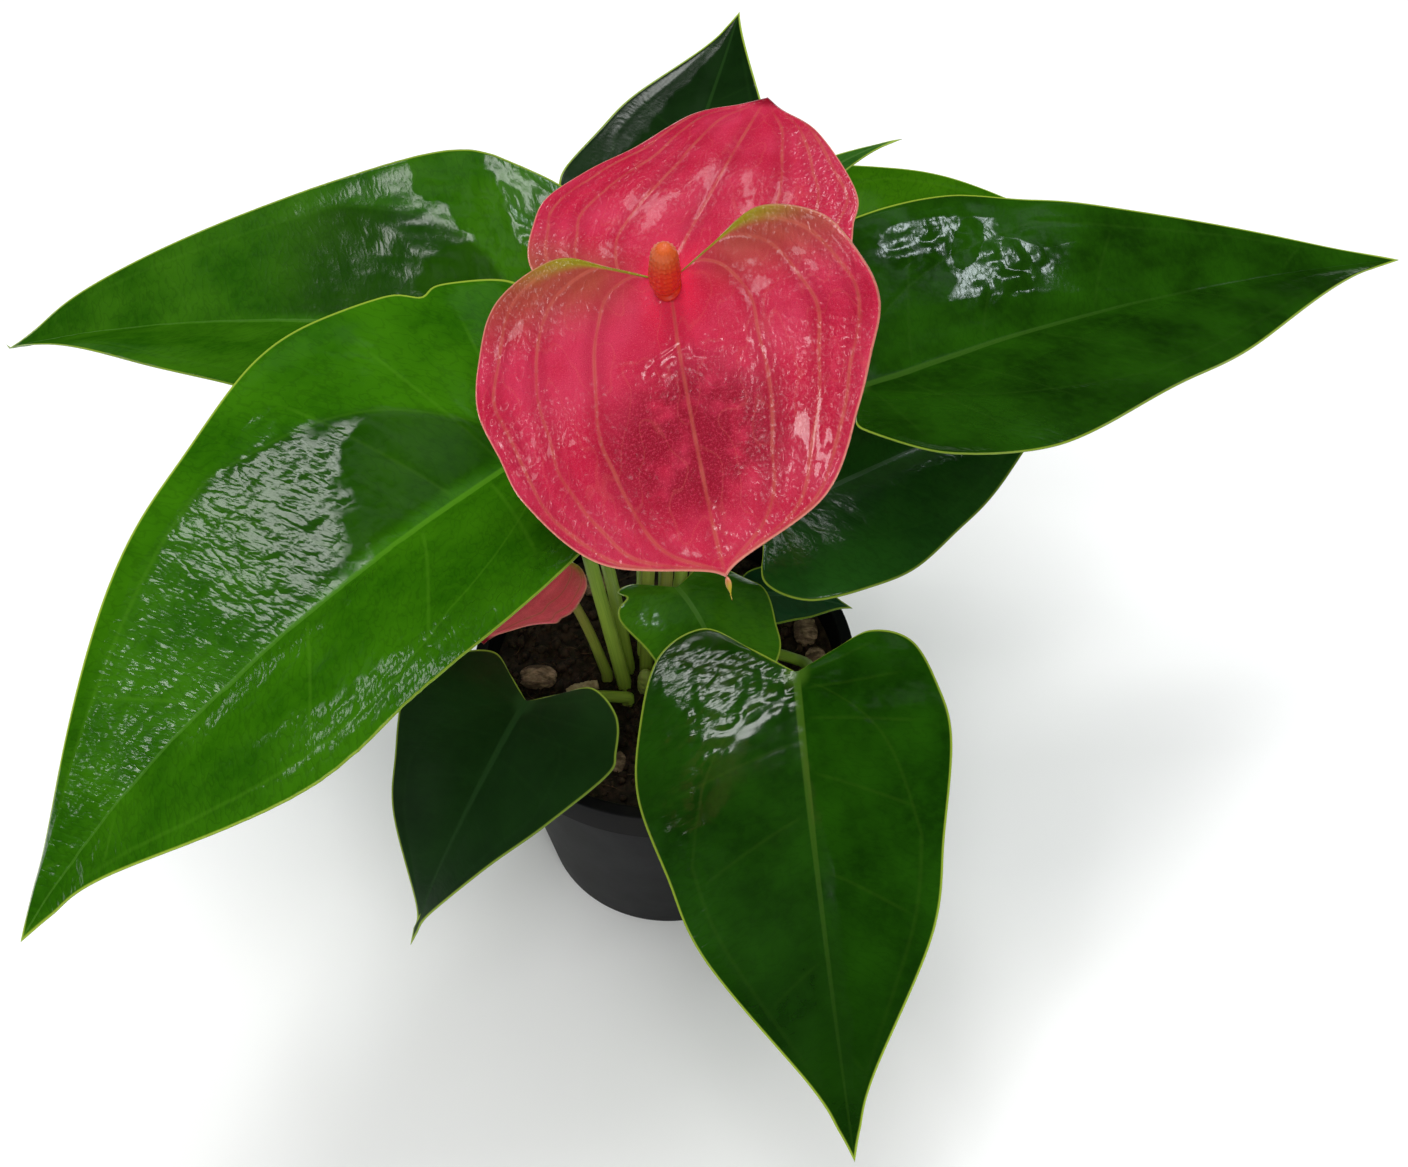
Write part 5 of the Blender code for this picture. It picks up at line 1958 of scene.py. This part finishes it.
BLOOMS = (
    Bloom("front",
          Blade((5, -38, 275), (10, -69, 256), (18, -100, 244),
                Half(44, 10, 0.26, 0.80, -1), Half(48, 11, 0.25, 0.85, -4),
                roll=(-26, -23), fold=(5, -4), lobe_out=0.52, taper=0.54, lift=0.02, spur=5.5,
                wave=(0.6, 4, 0.3), thickness=CAD_SPATHE_THICKNESS),
          Stalk((-6, -0.5), ((-5, 7, 122), (-1, 3, 170), (4, -18, 240)), 2.2, 2.0),
          Spadix((0, -0.4, 0.92), 17, 3.3),
          SpatheFinish("front_pink", spurred=True), rows=200, columns=156, pucker=0.06, sway=0.3,
          patches=(Patch(0.57, 0.0, 0.035, 0.30, 2.2, 0.45), Patch(0.80, 0.0, 0.05, 0.25, 2.4, 0.30),
                   Patch(0.58, 0.90, 0.15, 0.10, 3.4, 0.30), Patch(0.55, -0.88, 0.15, 0.12, 3.4, 0.30))),
    Bloom("rear",
          Blade((2, 10, 236), (16, 46, 242), (30, 82, 242),
                Half(41, 14, 0.25, 0.67, -7), Half(42, 14, 0.27, 0.86, -4),
                roll=(0, 5), fold=(4, -1), taper=0.45, wave=(0.6, 3, 0.1), thickness=CAD_SPATHE_THICKNESS),
          Stalk((-1, -4), ((-1, 3, 105), (1, 10, 125), (3, 12, 180)), 2.1, 1.8),
          Spadix((0.1, -0.5, 0.86), 15, 2.8),
          SpatheFinish("rear_pink", wine_share=0.2), rows=160, columns=120),
    Bloom("low",
          Blade((-33, -2, 148), (-52, -15, 144), (-50, -29, 138),
                Half(23, 4, 0.27, 0.86, -4), Half(20, 5, 0.27, 0.86),
                fold=(2, 2), taper=0.43, wave=(0.3, 2, 0), thickness=CAD_SPATHE_THICKNESS),
          Stalk((-18.5, -3), ((-24, -3, 115),), 1.9, 1.4),
          Spadix((0.1, -0.2, 0.97), 8, 1.7),
          # Painted light: its pinks are much paler than the other spathes' to make up for the shade of leaf 1
          # above it.
          SpatheFinish("low_pink_painted_light", (0.95, 0.070, 0.130), (0.97, 0.120, 0.180),
                       wine_share=0.2, olive_share=0.3),
          rows=80, columns=60, sway=0.3),
)


@dataclass
class Ground:
    """All that fills the pot: the mix, its crumbs and fibres, the bark chips, the crown and the root stub."""

    chips: int = 5
    crown_foot: tuple[float, float] = (-6.0, -7.0)
    crown_radius: float = 2.6
    crown_rise: float = 9.0
    crown_rings: int = 60
    crown_sides: int = 28
    stub_radius: float = 1.9
    stub_route: tuple[Place, ...] = ((-31, -10, 0), (-26, -9, 0.3), (-21, -8, 1.1))
    stub_rings: int = 50
    stub_sides: int = 24
    stub_seed: int = 31

    def make(self) -> None:
        """Make every piece of it."""
        peat = EarthFinish("peat_damp", (0.009, 0.005, 0.003), (0.042, 0.024, 0.014), 900.0, rough=0.78)
        clod = EarthFinish("peat_clods", (0.010, 0.006, 0.004), (0.060, 0.034, 0.020), 1200.0, rough=0.82)
        thread = EarthFinish("peat_fibres", (0.040, 0.022, 0.012), (0.120, 0.075, 0.040), 1500.0, depth=0.1)
        bark = EarthFinish("bark_rough", (0.070, 0.042, 0.024), (0.34, 0.23, 0.14), 420.0, 0.85, stretch=2.5)
        add_piece("peat_body", MixPiece().build(), peat.dress(), "peat", "potting_mix")
        add_piece("peat_crumbs", CrumbPiece().build_clods(), clod.dress(), "peat")
        add_piece("peat_threads", CrumbPiece().build_fibres(), thread.dress(), "peat")
        bark_material = bark.dress()
        for number in range(1, self.chips + 1):
            chip = ChipPiece(f"bark_chip_{number}", number)
            add_piece(f"bark_{number}", chip.build(), bark_material, "bark", chip.node)
        self.make_crown()
        self.make_stub()

    def make_crown(self) -> None:
        """Make the knobbly rootstock, ringed by old leaf scars."""
        x, y = self.crown_foot
        height = np.linspace(TOUCH_GAP - HOLE_DEPTH, self.crown_rise, self.crown_rings)
        line = np.column_stack([np.full_like(height, x), np.full_like(height, y), MIX_TOP + height])
        share = np.clip(height / self.crown_rise, 0, 1)
        radii = self.crown_radius * np.sqrt(np.clip(1 - share**3, 0.02, 1))
        scars = 0.22 * np.abs(np.sin(height * 1.5))[:, None] * np.ones(self.crown_sides)
        mesh = tube_mesh(line, radii, self.crown_sides, scars)
        finish = StalkFinish("crown_skin", (0.20, 0.22, 0.06), (0.30, 0.38, 0.07), (0.36, 0.34, 0.12))
        add_piece("rootstock", mesh, finish.dress(), "crown_green", "crown")

    def make_stub(self) -> None:
        """Make the dry root stub, lumpy and a little shrunken at its ends, along its solid."""
        low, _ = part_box("root_stub")
        share = np.linspace(0, 1, self.stub_rings)
        line = catmull_rom(np.array(self.stub_route, float), share)
        line[:, 2] += low.z / MM + self.stub_radius
        radii = self.stub_radius * (0.5 + 0.5 * ease(share, 0.0, 0.3)) * (1 - 0.2 * ease(share, 0.7, 1.0))
        turn = np.linspace(0, 12, self.stub_sides, endpoint=False)
        lumps = Lumps(self.stub_seed).at(*np.broadcast_arrays(share[:, None] * 40, turn), 1.5)
        mesh = tube_mesh(line, radii, self.stub_sides, 0.18 * lumps)
        finish = EarthFinish("dry_root", (0.22, 0.16, 0.08), (0.55, 0.45, 0.26), 600.0, 0.75, depth=0.3)
        add_piece("dry_root_stub", mesh, finish.dress(), "dry_beige", "root_stub")


@dataclass(frozen=True)
class Softbox:
    """A flat soft light: its middle in metres, its width and height, and how strong it is.

    level is whether it faces straight down, as a window in a ceiling does, and mirrored is whether glossy
    surfaces show it.
    """

    name: str
    middle: Place
    width: float
    height: float
    power: float
    tint: Colour = (1.0, 1.0, 1.0)
    level: bool = False
    mirrored: bool = True

    def make(self, target: Vector) -> None:
        """Add the light.

        Args:
            target: What it faces, unless it is level.
        """
        data = bpy.data.lights.new(self.name, "AREA")
        data.shape = "RECTANGLE"
        data.size = self.width
        data.size_y = self.height
        data.energy = self.power
        data.color = self.tint
        light = bpy.data.objects.new(self.name, data)
        light.location = self.middle
        if not self.level:
            light.rotation_euler = (target - light.location).to_track_quat("-Z", "Y").to_euler()
        light.visible_glossy = self.mirrored
        bpy.context.scene.collection.objects.link(light)


@dataclass
class Studio:
    """The pale floor, the soft lights and the camera that looks down on the plant.

    lens and sensor are in millimetres, and the places and the floor's side in metres.
    """

    lens: float = 40.0
    sensor: float = 36.0
    pitch: float = 50.0
    eye: Place = (0.0123, -0.3003, 0.488)
    target: Place = (0.0, 0.0, 0.18)
    floor_side: float = 8.0
    world_grey: float = 0.27
    softboxes: tuple[Softbox, ...] = (
        Softbox("overhead_window", (-0.34, 0.13, 1.90), 0.44, 0.50, 6.4, (1.0, 1.0, 0.98), level=True),
        Softbox("overhead_pane", (0.08, 0.42, 1.90), 0.40, 0.36, 5.0, level=True),
        Softbox("back_right_window", (0.72, 1.27, 1.90), 0.22, 0.22, 2.8, (0.86, 0.94, 1.0)),
        Softbox("far_right_window", (1.18, 1.64, 1.90), 0.24, 0.24, 3.2, (0.86, 0.94, 1.0)),
        Softbox("back_window", (0.42, 1.62, 1.90), 0.26, 0.20, 2.4, (0.86, 0.94, 1.0)),
        Softbox("back_left_window", (-0.16, 1.66, 1.90), 0.08, 0.26, 0.4),
        Softbox("left_low_window", (-1.70, -0.72, 1.72), 0.20, 0.18, 1.0),
        Softbox("left_high_window", (-1.25, -1.06, 2.50), 0.24, 0.20, 3.2),
        Softbox("low_back_left_box", (-1.80, 1.25, 0.60), 0.40, 0.20, 1.1),
        Softbox("front_fill", (0.20, -1.60, 2.30), 1.60, 1.60, 36.0, mirrored=False),
        Softbox("ceiling_fill", (0.0, 0.0, 2.60), 3.0, 3.0, 20.0, level=True, mirrored=False),
    )

    def add_camera(self) -> None:
        """Add the camera that looks down on the plant as the photograph does."""
        view = bpy.data.cameras.new("photo_view")
        view.lens = self.lens
        view.sensor_width = self.sensor
        camera = bpy.data.objects.new("photo_view", view)
        camera.location = self.eye
        camera.rotation_euler = (math.radians(90 - self.pitch), 0.0, 0.0)
        bpy.context.scene.collection.objects.link(camera)
        bpy.context.scene.camera = camera

    def add_world(self) -> None:
        """Add the soft grey light from all round, which glossy surfaces don't show."""
        world = bpy.data.worlds.new("soft_room")
        world.use_nodes = True
        backdrop = world.node_tree.nodes["Background"]
        backdrop.inputs["Color"].default_value = (self.world_grey, self.world_grey, self.world_grey, 1.0)
        world.cycles_visibility.glossy = False
        bpy.context.scene.world = world

    def add_floor(self) -> None:
        """Add the floor under the pot."""
        shape = bmesh.new()
        bmesh.ops.create_grid(shape, x_segments=4, y_segments=4, size=self.floor_side / 2)
        mesh = settle(shape, "floor")
        mesh.materials.append(FloorFinish().dress())
        floor = bpy.data.objects.new("floor", mesh)
        bpy.context.scene.collection.objects.link(floor)

    def make(self) -> None:
        """Add the camera, the world, the lights and the floor."""
        bpy.context.scene.view_settings.view_transform = "Standard"
        self.add_camera()
        self.add_world()
        for box in self.softboxes:
            box.make(Vector(self.target))
        self.add_floor()


def main() -> None:
    """Dress the whole potted plant and set up the studio."""
    logging.basicConfig(level=logging.INFO)
    Studio().make()
    pot = PotPiece()
    add_piece("nursery_pot", pot.build(), pot.finish.dress(), "pot_black", "pot")
    Ground().make()
    green = StalkFinish("leaf_stalk_green", (0.30, 0.42, 0.050), (0.13, 0.29, 0.018), (0.12, 0.24, 0.02))
    ruddy = StalkFinish("bloom_stalk_green", (0.27, 0.36, 0.045), (0.24, 0.17, 0.04), (0.13, 0.18, 0.03))
    leaf_stalk, bloom_stalk = green.dress(), ruddy.dress()
    spike = SpadixFinish("spadix_wax").dress()
    for number, leaf in enumerate(LEAVES, start=1):
        leaf.make(100 * number, leaf_stalk)
    for number, bloom in enumerate(BLOOMS, start=1):
        bloom.make(5000 + 100 * number, bloom_stalk, spike)


if __name__ == "__main__":
    main()
